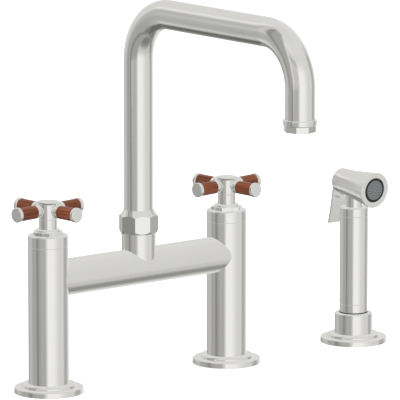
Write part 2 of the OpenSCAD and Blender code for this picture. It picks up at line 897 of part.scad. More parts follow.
// Black sleeve in the holder, whose lip shows round the handle's foot
module holder_liner() {
    inner_r = liner_r - liner_t;
    color(rubber) translate([spray_x, 0, 0]) {
        ring(liner_r, inner_r, spray_seat_z, holder_top - spray_seat_z - fit_gap);
        ring(inner_r + liner_lip_t, inner_r, holder_top - over, over + foot_gap - free_gap);
    }
}

// End fitting of the hose, which hangs in the shank and swivels in the handle
module hose_connector() {
    color(brass) translate([spray_x, 0, 0]) difference() {
        union() {
            pocket(connector_r, connector_foot, connector_top);
            pocket(hose_thread_r, connector_foot - hose_thread_l, connector_foot);
        }
        bore(connector_bore_r, connector_foot - hose_thread_l, connector_top - connector_foot + hose_thread_l);
    }
}

module spray_handle() {
    c = seam_chamfer;
    color(nickel) translate([spray_x, 0, 0]) difference() {
        rotate_extrude() polygon([
            [0, low_seam_z], [handle_r - c, low_seam_z], [handle_r, low_seam_z + c],
            [handle_r, high_seam_z - c], [handle_r - c, high_seam_z], [0, high_seam_z]
        ]);
        bore(handle_r - handle_wall, low_seam_z, high_seam_z - low_seam_z);
    }
}

module spray_top_ring() {
    c = seam_chamfer;
    color(nickel) translate([spray_x, 0, 0]) difference() {
        rotate_extrude() polygon([
            [0, high_seam_z], [handle_r - c, high_seam_z], [handle_r, high_seam_z + c],
            [handle_r, handle_top - ring_chamfer], [handle_r - ring_chamfer, handle_top], [0, handle_top]
        ]);
        bore(neck_r + fit_gap, high_seam_z, top_ring_h);
    }
}

module spray_bottom_ring() {
    c = seam_chamfer;
    color(nickel) translate([spray_x, 0, 0]) difference() {
        rotate_extrude() polygon([
            [0, handle_foot], [foot_ring_r - ring_chamfer, handle_foot],
            [foot_ring_r, handle_foot + ring_chamfer], [foot_ring_r, holder_top + foot_gap],
            [handle_r - c, holder_top + foot_gap], [handle_r, holder_top + foot_gap + c],
            [handle_r, low_seam_z - c], [handle_r - c, low_seam_z], [0, low_seam_z]
        ]);
        bore(connector_r + turn_gap, handle_foot, low_seam_z - handle_foot);
    }
}

// Puts a piece on the spray head's axis, with the spray face towards +Z
module on_head() {
    translate([spray_x, 0, head_z]) rotate([90 + head_tilt, 0, 0]) children();
}

// Outline of the spray head: a rounded back, a straight barrel and a flare to the face
function flare_r(z) = head_back_r + (face_r - head_back_r)
    * pow(max(0, z - flare_start) / (head_front - flare_start), flare_power);
function head_profile() = concat(
    [[0, -head_back]],
    arc([head_back_r - head_round, head_round - head_back], head_round, -90, 0),
    [for (i = [0:flare_steps - 1])
        let (z = flare_start + (head_front - face_round - flare_start) * i / flare_steps) [flare_r(z), z]],
    arc([face_r - face_round, head_front - face_round], face_round, 0, 90),
    [[0, head_front]]
);

module spray_head() {
    slot_front = pin_y - nose_reach - slot_play;
    slot_back = pin_y + lug_r + slot_play;
    color(nickel) difference() {
        union() {
            on_head() rotate_extrude() polygon(head_profile());
            translate([spray_x, 0, 0]) pocket(neck_r, high_seam_z - neck_depth, head_z);
        }
        translate([spray_x, 0, 0]) pocket(waterway_r, high_seam_z - neck_depth - over, head_z);
        on_head() pocket(nozzle_port_r, 0, head_front);
        on_head() pocket(nozzle_r + fit_gap, head_front - nozzle_depth, head_front + over);
        translate([spray_x - slot_w / 2, slot_front, pin_z - head_back_r])
            cube([slot_w, slot_back - slot_front, slot_top - pin_z + head_back_r]);
        translate([spray_x - pin_blind, pin_y, pin_z]) rotate([0, 90, 0])
            cylinder(r = pin_r + fit_gap, h = pin_blind + head_back_r + over);
        translate([spray_x, plunger_y, 0])
            pocket(plunger_r + turn_gap, slot_top - over, plunger_z + plunger_l + plunger_spring_h);
    }
}

module nozzle_ring() {
    color(rubber) on_head()
        ring(nozzle_r, plate_r + fit_gap, head_front - nozzle_depth, nozzle_depth - fit_gap);
}

// Nozzle plate with rings of small jets
module nozzle_plate() {
    top = head_front + plate_rise;
    color(nozzle_grey) on_head() difference() {
        pocket(plate_r, top - plate_t, top);
        for (k = [0:len(jet_rings) - 1])
            let (count = jet_ring_step * (k + 1))
                for (i = [1:count]) rotate([0, 0, 360 * i / count])
                    translate([jet_rings[k], 0, 0]) pocket(jet_r, top - jet_depth, top + over);
    }
}

// Paddle lever: a flared plate and a shelf under the head's back, a lug on the pin and a nose in front
module spray_lever() {
    lever_top_z = pin_z;
    mid_z = lever_foot_z + (lever_top_z - lever_foot_z) * lever_mid_share;
    lean = (lever_mid_y - lever_top_y) / (lever_top_z - mid_z);
    web_y = lever_top_y + lean * (lever_top_z - lever_web_z) - lever_t / 2;
    plate = [
        [lever_top_y - lever_t, lever_top_z], [lever_top_y, lever_top_z], [lever_mid_y, mid_z],
        [lever_foot_y, lever_foot_z], [lever_foot_y - lever_t, lever_foot_z],
        [lever_mid_y - lever_t, mid_z]
    ];
    lug = [
        [pin_y - lug_r, pin_z], [pin_y + lug_r, pin_z], [pin_y + lug_r, lever_web_z - lever_web_t],
        [pin_y - lug_r, lever_web_z - lever_web_t]
    ];
    shelf = [
        [pin_y - lug_r, lever_web_z], [web_y, lever_web_z], [web_y, lever_web_z - lever_web_t],
        [pin_y - lug_r, lever_web_z - lever_web_t]
    ];
    nose = [
        [pin_y - nose_reach, pin_z + nose_top], [pin_y, pin_z + nose_top],
        [pin_y, pin_z + nose_top - nose_t], [pin_y - nose_reach, pin_z + nose_top - nose_t]
    ];
    color(nickel) difference() {
        union() {
            difference() {
                across(lever_w, plate);
                on_head() translate([0, 0, -2 * head_back])
                    cylinder(r = head_back_r + free_gap, h = 2 * head_back + head_front);
            }
            across(lug_w, lug);
            across(lever_w - 2 * lever_t, shelf);
            across(lug_w, nose);
            translate([spray_x - lug_w / 2, pin_y, pin_z]) rotate([0, 90, 0]) cylinder(r = lug_r, h = lug_w);
        }
        translate([spray_x - lug_w, pin_y, pin_z]) rotate([0, 90, 0])
            cylinder(r = pin_r + turn_gap, h = 2 * lug_w);
    }
}

// A side view, given as points in Y and Z, as a plate of the given width across the spray
module across(width, points) {
    translate([spray_x - width / 2, 0, 0]) rotate([90, 0, 90]) linear_extrude(width) polygon(points);
}

module lever_pin() {
    color(steel) translate([spray_x - pin_blind, pin_y, pin_z]) rotate([0, 90, 0])
        cylinder(r = pin_r, h = pin_blind + pin_out);
}

module lever_plunger() {
    color(steel) translate([spray_x, plunger_y, 0]) pocket(plunger_r, plunger_z, plunger_z + plunger_l);
}

module plunger_spring() {
    color(steel) translate([spray_x, plunger_y, 0])
        spring(plunger_coil_r, plunger_wire_r, plunger_z + plunger_l, plunger_spring_h);
}

flange(-column_x);  // left_flange
flange(column_x);  // right_flange
flange(spray_x);  // spray_flange
deck_gaskets();
threaded_shanks();
steel_washers();
mounting_nuts();
column(-1);  // left_column
column(1);  // right_column
column_cap(-1);  // left_column_cap
column_cap(1);  // right_column_cap
bridge_tube();
spout_socket();
spout_nut();
thrust_washer();
bonnet(-1);  // left_bonnet
bonnet(1);  // right_bonnet
cartridge(-1);  // left_cartridge
cartridge(1);  // right_cartridge
fixed_discs();
moving_disc(-1);  // left_moving_disc
moving_disc(1);  // right_moving_disc
stem(-1);  // left_stem
stem(1);  // right_stem
skirt(-1);  // left_skirt
skirt(1);  // right_skirt
hub(-1);  // left_hub
hub(1);  // right_hub
arm_rods(-1);  // left_arm_rods
arm_rods(1);  // right_arm_rods
wood_grips(-1);  // left_wood_grips
wood_grips(1);  // right_wood_grips
handle_caps(-1);  // left_handle_caps
handle_caps(1);  // right_handle_caps
handle_screw(-1);  // left_handle_screw
handle_screw(1);  // right_handle_screw
spout_tube();
spout_foot();
spout_seals();
retaining_ring();
spout_collar();
aerator_housing();
aerator_screen();
diverter_body();
diverter_piston();
diverter_spring();
spray_holder();
holder_liner();
hose_connector();
spray_handle();
spray_top_ring();
spray_bottom_ring();
spray_head();
nozzle_ring();
nozzle_plate();
spray_lever();
lever_pin();
lever_plunger();
plunger_spring();
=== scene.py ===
"""Bridge kitchen faucet with a side spray, dressed round its CAD frame.

Every piece is modelled at its real size in metres: X runs along the row of columns, the spout
reaches towards -Y, and the deck is the plane Z = 0.
"""

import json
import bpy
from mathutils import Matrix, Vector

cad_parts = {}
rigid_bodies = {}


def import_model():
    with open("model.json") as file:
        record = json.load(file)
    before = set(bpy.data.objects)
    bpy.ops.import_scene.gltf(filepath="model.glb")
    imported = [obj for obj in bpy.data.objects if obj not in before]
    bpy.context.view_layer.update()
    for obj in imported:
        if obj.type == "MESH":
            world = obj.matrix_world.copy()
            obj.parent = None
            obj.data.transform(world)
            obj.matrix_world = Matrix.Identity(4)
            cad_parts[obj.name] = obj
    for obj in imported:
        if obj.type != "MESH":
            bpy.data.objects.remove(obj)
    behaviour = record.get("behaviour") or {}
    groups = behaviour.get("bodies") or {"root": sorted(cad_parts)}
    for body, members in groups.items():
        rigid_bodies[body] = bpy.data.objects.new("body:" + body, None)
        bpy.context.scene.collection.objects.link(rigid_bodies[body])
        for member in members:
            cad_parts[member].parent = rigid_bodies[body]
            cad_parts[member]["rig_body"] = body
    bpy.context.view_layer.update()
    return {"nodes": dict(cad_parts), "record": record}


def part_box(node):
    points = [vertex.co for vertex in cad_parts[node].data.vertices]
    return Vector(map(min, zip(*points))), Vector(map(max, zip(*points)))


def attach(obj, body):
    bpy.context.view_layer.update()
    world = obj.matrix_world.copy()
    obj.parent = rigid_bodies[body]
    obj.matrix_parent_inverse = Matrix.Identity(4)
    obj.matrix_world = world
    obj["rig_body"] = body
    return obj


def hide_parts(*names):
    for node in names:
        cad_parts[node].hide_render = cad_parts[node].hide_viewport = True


bl_info = {
    "name": "Bridge Kitchen Faucet",
    "version": (1, 0, 0),
    "blender": (4, 5, 0),
    "location": "View3D > Sidebar > Faucet",
    "description": "Models a bridge faucet with cross handles and a side spray round its CAD frame",
    "category": "Object",
}

from math import cos, pi, radians, sin, sqrt, tau

import bmesh
import bpy
from mathutils import Matrix

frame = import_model()

# Sides of a turned piece and of a small one, and steps of a bend
SIDES = 128
SMALL_SIDES = 64
BEND_STEPS = 40
# Points closer than this are one point, and a ring is found to within this
MERGE = 1e-6
NEAR = 2e-5
# Width of the softened edges, the steepest angle that is shaded smooth and the least softened one
EDGE = 0.00012
SMOOTH_ANGLE = radians(35)
BEVEL_ANGLE = radians(28)
QUARTER = pi / 2
# Sides of the pieces with flats, and of holes
BONNET_SIDES = 6
NUT_SIDES = 8
AERATOR_SIDES = 8
PIN_SIDES = 32
JET_SIDES = 16
# Steps of the bevels and rounds in an outline, from one flat to the widest round
CHAMFER = 1
SOFT_STEPS = 2
EDGE_STEPS = 3
RING_STEPS = 4
FACE_STEPS = 5
ROUND_STEPS = 6
BACK_STEPS = 8
# Each finish by name, with its material and the record's slot that it stands for
FINISHES = {}


def number(name, description, default, **kind):
    """A plain factor, or a number of another kind."""
    return bpy.props.FloatProperty(name=name, description=description, default=default, **kind)


def length(name, description, default):
    """A size in metres."""
    return number(name, description, default, unit="LENGTH", subtype="DISTANCE", precision=5)


def angle(name, description, default):
    """A turn, given in degrees."""
    return number(name, description, radians(default), unit="ROTATION", subtype="ANGLE")


def colour(name, description, default):
    """A colour in linear light."""
    return bpy.props.FloatVectorProperty(
        name=name, description=description, default=default, size=3, min=0, max=1, subtype="COLOR"
    )


class FaucetBodySizes(bpy.types.PropertyGroup):
    """Sizes of the flanges, columns, bridge, union nut and spout."""

    rim_height: length("Rim height", "Height of a flange's rim above the deck", 0.0049)
    step_radius: length("Step radius", "Radius of a flange's raised step", 0.0244)
    rim_round: length("Rim round", "Radius of a rim's rounded edge", 0.0008)
    shoulder_round: length("Shoulder round", "Radius of the shoulder of a flange's step", 0.0023)
    shank_bore: length("Shank bore", "Radius of the hole that takes a shank", 0.01295)
    groove_radius: length("Groove radius", "Inner radius of the gasket groove", 0.0224)
    groove_width: length("Groove width", "Width of the gasket groove", 0.004)
    groove_depth: length("Groove depth", "Depth of the gasket groove", 0.0022)
    column_bore: length("Column bore", "Radius of the bore in a column", 0.01295)
    seam_chamfer: length("Seam chamfer", "Chamfer on both sides of a seam", 0.00015)
    cap_chamfer: length("Cap chamfer", "Chamfer round a column's top", 0.001)
    joint_gap: length("Joint gap", "Gap between a coped pipe and what it meets", 0.00005)
    bridge_wall: length("Bridge wall", "Wall of the bridge tube", 0.003)
    bridge_hole: length("Bridge hole", "Radius of the hole under the spout socket", 0.01105)
    hole_band: length("Hole band", "Half length of the bridge that holds the hole", 0.0125)
    socket_bore: length("Socket bore", "Radius of the bore in the spout socket", 0.0106)
    nut_radius: length("Nut radius", "Radius of the union nut over its corners", 0.0179)
    nut_turn: angle("Nut turn", "Turn of the union nut", -3.0)
    nut_foot_radius: length("Nut foot radius", "Radius of the union nut's chamfered foot", 0.0162)
    nut_foot_height: length("Nut foot height", "Height of the union nut's foot chamfer", 0.0026)
    nut_cone_height: length("Nut cone height", "Height of the hollow cone on the union nut", 0.0063)
    nut_cone_radius: length("Nut cone radius", "Radius of the union nut's top edge", 0.0134)
    nut_shoulder: length("Nut shoulder", "Height of the shoulder inside the union nut", 0.0153)
    nut_wide_bore: length("Nut wide bore", "Radius of the union nut's lower bore", 0.01545)
    nut_bore: length("Nut bore", "Radius of the union nut's upper bore", 0.01335)
    nut_edge: length("Nut edge", "Radius of the union nut's softened edges", 0.00022)
    bend_radius: length("Bend radius", "Radius of the spout's bends at its axis", 0.0445)
    spout_wall: length("Spout wall", "Wall of the spout tube", 0.0015)
    collar_bore: length("Collar bore", "Radius of the bore in the outlet collar", 0.01305)
    collar_round: length("Collar round", "Radius of the outlet collar's edges", 0.0008)
    aerator_radius: length("Aerator radius", "Radius of the aerator over its corners", 0.0141)
    aerator_turn: angle("Aerator turn", "Turn of the aerator", -8.0)
    aerator_edge: length("Aerator edge", "Radius of the aerator's softened edges", 0.0003)
    flats_height: length("Flats height", "Height of the aerator's wrench flats", 0.0056)
    aerator_bore: length("Aerator bore", "Radius of the bore in the aerator", 0.0096)
    aerator_spigot: length("Aerator spigot", "Radius of the aerator inside the tube", 0.01145)


class FaucetHandleSizes(bpy.types.PropertyGroup):
    """Sizes of the bonnets and the cross handles."""

    bonnet_radius: length("Bonnet radius", "Radius of a bonnet over its corners", 0.0145)
    bonnet_height: length("Bonnet height", "Height of a bonnet's wrench flats", 0.0029)
    left_bonnet_turn: angle("Left bonnet turn", "Turn of the left bonnet", -3.7)
    right_bonnet_turn: angle("Right bonnet turn", "Turn of the right bonnet", -25.5)
    bonnet_top_radius: length("Bonnet top radius", "Radius of a bonnet's round top", 0.0112)
    bonnet_top_round: length("Bonnet top round", "Radius of a bonnet's rounded shoulder", 0.0011)
    bonnet_bore: length("Bonnet bore", "Radius of the bore in a bonnet", 0.006)
    skirt_bore: length("Skirt bore", "Radius of the bore in a skirt", 0.00555)
    hub_bore: length("Hub bore", "Radius of the bore in a hub", 0.004)
    arm_turn: angle("Arm turn", "Turn of the arms from the row of columns", 5.8)
    arm_rise: length("Arm rise", "Height of the arms' axis above the hub's foot", 0.0079)
    arm_length: length("Arm length", "Length of an arm from the hub's axis", 0.0382)
    rod_radius: length("Rod radius", "Radius of the rod inside a grip", 0.0025)
    rod_start: length("Rod start", "Start of the rod from the hub's axis", 0.0044)
    collar_neck: length("Collar neck", "Radius of an arm's collar at the hub", 0.0033)
    dome_start: length("Dome start", "Start of the collar's dome from the hub's axis", 0.0092)
    dome_end: length("Dome end", "End of the collar's dome from the hub's axis", 0.0134)
    grip_start: length("Grip start", "Start of a wooden grip from the hub's axis", 0.016)
    grip_inner: length("Grip inner radius", "Radius of a grip near the hub", 0.0058)
    grip_outer: length("Grip outer radius", "Radius of a grip at its outer end", 0.00605)
    grip_bore: length("Grip bore", "Radius of the hole in a grip", 0.00255)
    grip_edge: length("Grip edge", "Radius of a grip's softened ends", 0.0003)
    end_cap_radius: length("End cap radius", "Radius of the metal cap on an arm", 0.0066)
    end_cap_thickness: length("End cap thickness", "Thickness of the cap on an arm", 0.0035)
    end_cap_chamfer: length("End cap chamfer", "Chamfer round the cap on an arm", 0.0005)
    end_cap_socket: length("End cap socket", "Depth of the rod's hole in the cap", 0.0016)
    seam_round: length("Seam round", "Chamfer on both sides of a skirt's seam", 0.0003)
    hub_cap_radius: length("Hub cap radius", "Radius of the flared cap on a hub", 0.0098)
    hub_cap_height: length("Hub cap height", "Height of the flared cap on a hub", 0.0026)
    hub_cap_round: length("Hub cap round", "Radius of the hub cap's edge", 0.0004)


class FaucetSpraySizes(bpy.types.PropertyGroup):
    """Sizes of the side spray."""

    holder_bore: length("Holder bore", "Radius of the bore that holds the liner", 0.0134)
    holder_seat: length("Holder seat", "Height of the seat inside the holder", 0.004)
    holder_chamfer: length("Holder chamfer", "Chamfer round the holder's top", 0.0008)
    liner_bore: length("Liner bore", "Radius of the bore in the holder's liner", 0.01225)
    liner_lip: length("Liner lip", "Radius of the liner's lip", 0.0129)
    lip_gap: length("Lip gap", "Gap between the liner's lip and the handle's shoulder", 0.00035)
    foot_gap: length("Foot gap", "Gap between the holder's top and the handle's shoulder", 0.0011)
    foot_radius: length("Foot radius", "Radius of the handle's foot inside the holder", 0.0119)
    handle_bore: length("Handle bore", "Radius of the bore in the spray's handle", 0.0111)
    ring_chamfer: length("Ring chamfer", "Chamfer at both ends of the handle", 0.0009)
    top_ring_bore: length("Top ring bore", "Radius of the bore in the upper ring", 0.0076)
    bottom_ring_bore: length("Bottom ring bore", "Radius of the bore in the lower ring", 0.008)
    neck_radius: length("Neck radius", "Radius of the neck under the head", 0.00755)
    head_height: length("Head height", "Height of the head's axis above the deck", 0.1482)
    head_tilt: angle("Head tilt", "Downward tilt of the spray head", 4.0)
    head_back: length("Head back", "Reach of the head behind the handle's axis", 0.0204)
    head_front: length("Head front", "Reach of the spray face in front", 0.0292)
    back_radius: length("Back radius", "Radius of the head at its back", 0.0115)
    back_round: length("Back round", "Radius of the head's rounded back edge", 0.0027)
    face_radius: length("Face radius", "Radius of the spray face", 0.0167)
    face_round: length("Face round", "Radius of the spray face's edge", 0.0008)
    flare_start: length("Flare start", "Start of the flare behind the handle's axis", 0.016)
    flare_power: number("Flare power", "How late the head flares out", 1.38)
    recess_radius: length("Recess radius", "Radius of the recess for the nozzle", 0.01155)
    recess_depth: length("Recess depth", "Depth of the recess for the nozzle", 0.006)
    plate_radius: length("Plate radius", "Radius of the nozzle plate", 0.009)
    ring_round: length("Ring round", "Radius of the black ring's edges", 0.0005)
    plate_rise: length("Plate rise", "Rise of the nozzle plate in front of the face", 0.0004)
    plate_thickness: length("Plate thickness", "Thickness of the nozzle plate", 0.003)
    plate_round: length("Plate round", "Radius of the nozzle plate's edge", 0.0004)
    jet_radius: length("Jet radius", "Radius of a jet in the nozzle plate", 0.00055)
    jet_depth: length("Jet depth", "Depth of a jet in the nozzle plate", 0.0008)
    jet_spacing: length("Jet spacing", "Distance between the rings of jets", 0.0024)
    slot_width: length("Slot width", "Width of the slot for the lever's lug", 0.0073)
    slot_front: length("Slot front", "Front of the slot, behind the handle's axis", 0.0083)
    slot_back: length("Slot back", "Back of the slot, behind the handle's axis", 0.0175)
    slot_top: length("Slot top", "Top of the slot above the deck", 0.149)
    pin_reach: length("Pin reach", "Distance of the lever's pin behind the axis", 0.0142)
    pin_height: length("Pin height", "Height of the lever's pin above the deck", 0.1446)
    pin_hole: length("Pin hole", "Radius of the pin's hole in the head", 0.00125)
    lever_hole: length("Lever hole", "Radius of the pin's hole in the lever", 0.0013)
    lever_width: length("Lever width", "Width of the paddle lever", 0.019)
    lever_thickness: length("Lever thickness", "Thickness of the paddle lever", 0.0022)
    lever_top: length("Lever top", "Reach of the lever's top behind the handle's axis", 0.0194)
    lever_middle: length("Lever middle", "Reach of the lever's bend behind the handle's axis", 0.0224)
    shelf_height: length("Shelf height", "Height of the lever's shelf above the deck", 0.1365)
    shelf_thickness: length("Shelf thickness", "Thickness of the lever's shelf", 0.0024)
    nose_reach: length("Nose reach", "Reach of the lever's nose before its pin", 0.0054)
    nose_top: length("Nose top", "Height of the nose's top above the pin", 0.0008)
    nose_thickness: length("Nose thickness", "Thickness of the lever's nose", 0.002)
    lever_clearance: length("Lever clearance", "Radius of the cope under the head", 0.01185)
    lever_edge: length("Lever edge", "Radius of the lever's softened edges", 0.0004)
    lug_width: length("Lug width", "Width of the lever's lug", 0.0066)
    lug_radius: length("Lug radius", "Radius of the lever's lug round its pin", 0.0028)


class FaucetFinishes(bpy.types.PropertyGroup):
    """Colours of the finishes."""

    nickel: colour("Nickel", "Polished nickel plate", (0.83, 0.828, 0.812))
    brass: colour("Brass", "Raw brass of the hidden fittings", (0.78, 0.60, 0.30))
    steel: colour("Steel", "Stainless steel of washers, pins and springs", (0.62, 0.63, 0.64))
    wood_light: colour("Light wood", "Early wood of the grips", (0.195, 0.052, 0.017))
    wood_dark: colour("Dark wood", "Late wood and pores of the grips", (0.066, 0.016, 0.006))
    rubber: colour("Rubber", "Black rubber of seals and gaskets", (0.012, 0.012, 0.013))
    ceramic: colour("Ceramic", "Valve discs", (0.86, 0.85, 0.80))
    acetal: colour("Acetal", "Moulded plastic inserts", (0.72, 0.72, 0.68))
    nozzle: colour("Nozzle", "Grey plastic of the nozzle plate", (0.135, 0.142, 0.147))
    floor: colour("Floor", "Pale studio floor", (0.92, 0.92, 0.92))


class FaucetStudio(bpy.types.PropertyGroup):
    """Camera and soft light."""

    lens: number("Lens", "Focal length of the camera", 447.09, unit="CAMERA")
    heading: angle("Heading", "Direction of the camera from +Y towards +X", 38.79)
    pitch: angle("Pitch", "How far the camera looks down", 10.11)
    floor_size: length("Floor size", "Side of the square floor", 60.0)
    light_height: length("Light height", "Height of the soft overhead light", 2.6)
    light_size: length("Light size", "Side of the soft overhead light", 3.0)
    light_power: number("Light power", "Power of the overhead light", 60.0, unit="POWER")
    ambient: number("Ambient", "Brightness of the room on matt surfaces", 1.05)


def clear():
    """Leaves nothing selected."""
    if bpy.context.object and bpy.context.object.mode != "OBJECT":
        bpy.ops.object.mode_set(mode="OBJECT")
    bpy.ops.object.select_all(action="DESELECT")


def take(piece):
    """Selects one piece and makes it the active one."""
    clear()
    piece.select_set(True)
    bpy.context.view_layer.objects.active = piece


def apply_modifiers(piece):
    """Applies the piece's modifiers in order."""
    take(piece)
    for name in [m.name for m in piece.modifiers]:
        bpy.ops.object.modifier_apply(modifier=name)


def at_origin():
    """Moves the active object's place into its mesh."""
    bpy.ops.object.transform_apply(location=True, rotation=True, scale=True)


def moved(piece, matrix):
    """Moves a piece's mesh, so that its object stays at the origin."""
    piece.data.transform(matrix)
    piece.data.update()
    return piece


def copied(piece, name, matrix):
    """A copy with its own mesh, moved by the matrix."""
    copy = bpy.data.objects.new(name, piece.data.copy())
    bpy.context.scene.collection.objects.link(copy)
    return moved(copy, matrix)


def shift(x=0.0, y=0.0, z=0.0):
    """A plain move."""
    return Matrix.Translation((x, y, z))


def turn(amount, axis):
    """A turn in radians about an axis through the origin."""
    return Matrix.Rotation(amount, 4, axis)


def upright(node):
    """Axis, radius, foot and top of a round upright node."""
    low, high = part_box(node)
    return shift((low.x + high.x) / 2, (low.y + high.y) / 2), (high.y - low.y) / 2, low.z, high.z


def middle_x(node):
    """Place of a node's middle along the row of columns."""
    low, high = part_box(node)
    return (low.x + high.x) / 2


def ring_of_edges(name, radius, height, sides=SIDES, fill="NOTHING"):
    """Starts a piece with a level ring of edges, selected in edit mode."""
    clear()
    bpy.ops.mesh.primitive_circle_add(
        vertices=sides, radius=radius, fill_type=fill, location=(0, 0, height)
    )
    piece = bpy.context.object
    piece.name = piece.data.name = name
    at_origin()
    bpy.ops.object.mode_set(mode="EDIT")
    bpy.ops.mesh.select_mode(type="EDGE")
    bpy.ops.mesh.select_all(action="SELECT")
    return piece


def extrude(*move):
    """Extrudes what is selected by a move."""
    bpy.ops.mesh.extrude_region_move(TRANSFORM_OT_translate={"value": move})


def weld():
    """Joins the points that meet, and points every face outwards, in edit mode."""
    bpy.ops.mesh.select_all(action="SELECT")
    bpy.ops.mesh.remove_doubles(threshold=MERGE)
    bpy.ops.mesh.normals_make_consistent(inside=False)


def arc(radius, height, size, start, end, steps=ROUND_STEPS):
    """Points of a rounded corner in an outline: its centre, its size and its first and last angle.

    The size is a radius, or a pair for a corner that is wider than it is high.
    """
    wide, high = size if isinstance(size, tuple) else (size, size)
    turns = [radians(start + (end - start) * i / steps) for i in range(steps + 1)]
    return [(radius + wide * cos(a), height + high * sin(a)) for a in turns]


def ring_edges(piece, radius, height):
    """Selects the ring of edges at a radius and a height, in edit mode."""
    mesh = bmesh.from_edit_mesh(piece.data)
    for edge in mesh.edges:
        edge.select_set(False)
    for edge in mesh.edges:
        ends = [(v.co.z - height, v.co.xy.length - radius) for v in edge.verts]
        if all(abs(up) < NEAR and abs(out) < NEAR for up, out in ends):
            edge.select_set(True)
    bmesh.update_edit_mesh(piece.data)


def turned(name, outline, hollow=False, sides=SIDES):
    """Turns an outline of (radius, height) points round the Z axis.

    A third value at a point is the width of its bevel, and a fourth the bevel's steps. A hollow
    piece closes on its first point, and a solid one has a face at both ends.
    """
    radius, height = outline[0][:2]
    piece = ring_of_edges(name, radius, height, sides, "NOTHING" if hollow else "NGON")
    for point in [*outline[1:], *(outline[:1] if hollow else ())]:
        extrude(0, 0, point[1] - height)
        share = point[0] / radius
        if abs(share - 1) > MERGE:
            bpy.ops.transform.resize(value=(share, share, 1), center_override=(0, 0, point[1]))
        radius, height = point[:2]
    weld()
    for radius, height, *bevel in outline:
        if bevel:
            ring_edges(piece, radius, height)
            steps = bevel[1] if len(bevel) > 1 else ROUND_STEPS
            bpy.ops.mesh.bevel(offset=bevel[0], segments=steps, profile=0.5)
    clear()
    return piece


def rod(name, radius, foot, top, sides=SIDES):
    """A plain round or flat-sided bar, as a core or a tool that cuts."""
    return turned(name, ((radius, foot), (radius, top)), sides=sides)


def tube(name, bore, low, high, sides=SIDES):
    """A pipe round a bore, from its outer corners as points of an outline."""
    return turned(name, ((bore, low[1]), low, high, (bore, high[1])), hollow=True, sides=sides)


def coped(piece, height, radius, centre, side=1):
    """Fits the ring at a height round a bar that crosses the axis along X."""
    for vertex in piece.data.vertices:
        if abs(vertex.co.z - height) < NEAR:
            vertex.co.z = centre + side * sqrt(radius**2 - vertex.co.y**2)
    piece.data.update()
    return piece


def extruded(name, points, width):
    """A plate from a side view, as (y, z) points, extruded along X about the plane X = 0."""
    clear()
    mesh = bpy.data.meshes.new(name)
    mesh.from_pydata([(-width / 2, y, z) for y, z in points], [], [list(range(len(points)))])
    piece = bpy.data.objects.new(name, mesh)
    bpy.context.scene.collection.objects.link(piece)
    take(piece)
    bpy.ops.object.mode_set(mode="EDIT")
    bpy.ops.mesh.select_all(action="SELECT")
    extrude(width, 0, 0)
    bpy.ops.mesh.select_all(action="SELECT")
    bpy.ops.mesh.normals_make_consistent(inside=False)
    clear()
    return piece


def side_box(name, front, back, top, foot, width):
    """A block about the plane X = 0, from its front and back along Y and its top and foot."""
    return extruded(name, ((front, top), (back, top), (back, foot), (front, foot)), width)


def combined(piece, tool, operation="DIFFERENCE"):
    """Cuts, joins or intersects a piece with a tool, which is used up."""
    step = piece.modifiers.new("Combine", "BOOLEAN")
    step.operation = operation
    step.solver = "EXACT"
    step.object = tool
    apply_modifiers(piece)
    bpy.data.objects.remove(tool)
    return piece


def softened(piece, width=EDGE, steps=SOFT_STEPS):
    """Softens every sharp edge, and shades the piece smooth with its flats left flat."""
    soft = piece.modifiers.new("Soft edges", "BEVEL")
    soft.width = width
    soft.segments = steps
    soft.limit_method = "ANGLE"
    soft.angle_limit = BEVEL_ANGLE
    apply_modifiers(piece)
    take(piece)
    bpy.ops.object.shade_smooth_by_angle(angle=SMOOTH_ANGLE)
    even = piece.modifiers.new("Even shading", "WEIGHTED_NORMAL")
    even.keep_sharp = True
    apply_modifiers(piece)
    clear()
    return piece


def placed(piece, node, finish="nickel"):
    """Gives a piece its finish and puts it in a node's place."""
    piece.data.materials.clear()
    piece.data.materials.append(FINISHES[finish]["material"])
    piece.visible_glossy = False
    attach(piece, frame["nodes"][node]["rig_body"])
    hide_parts(node)
    return piece


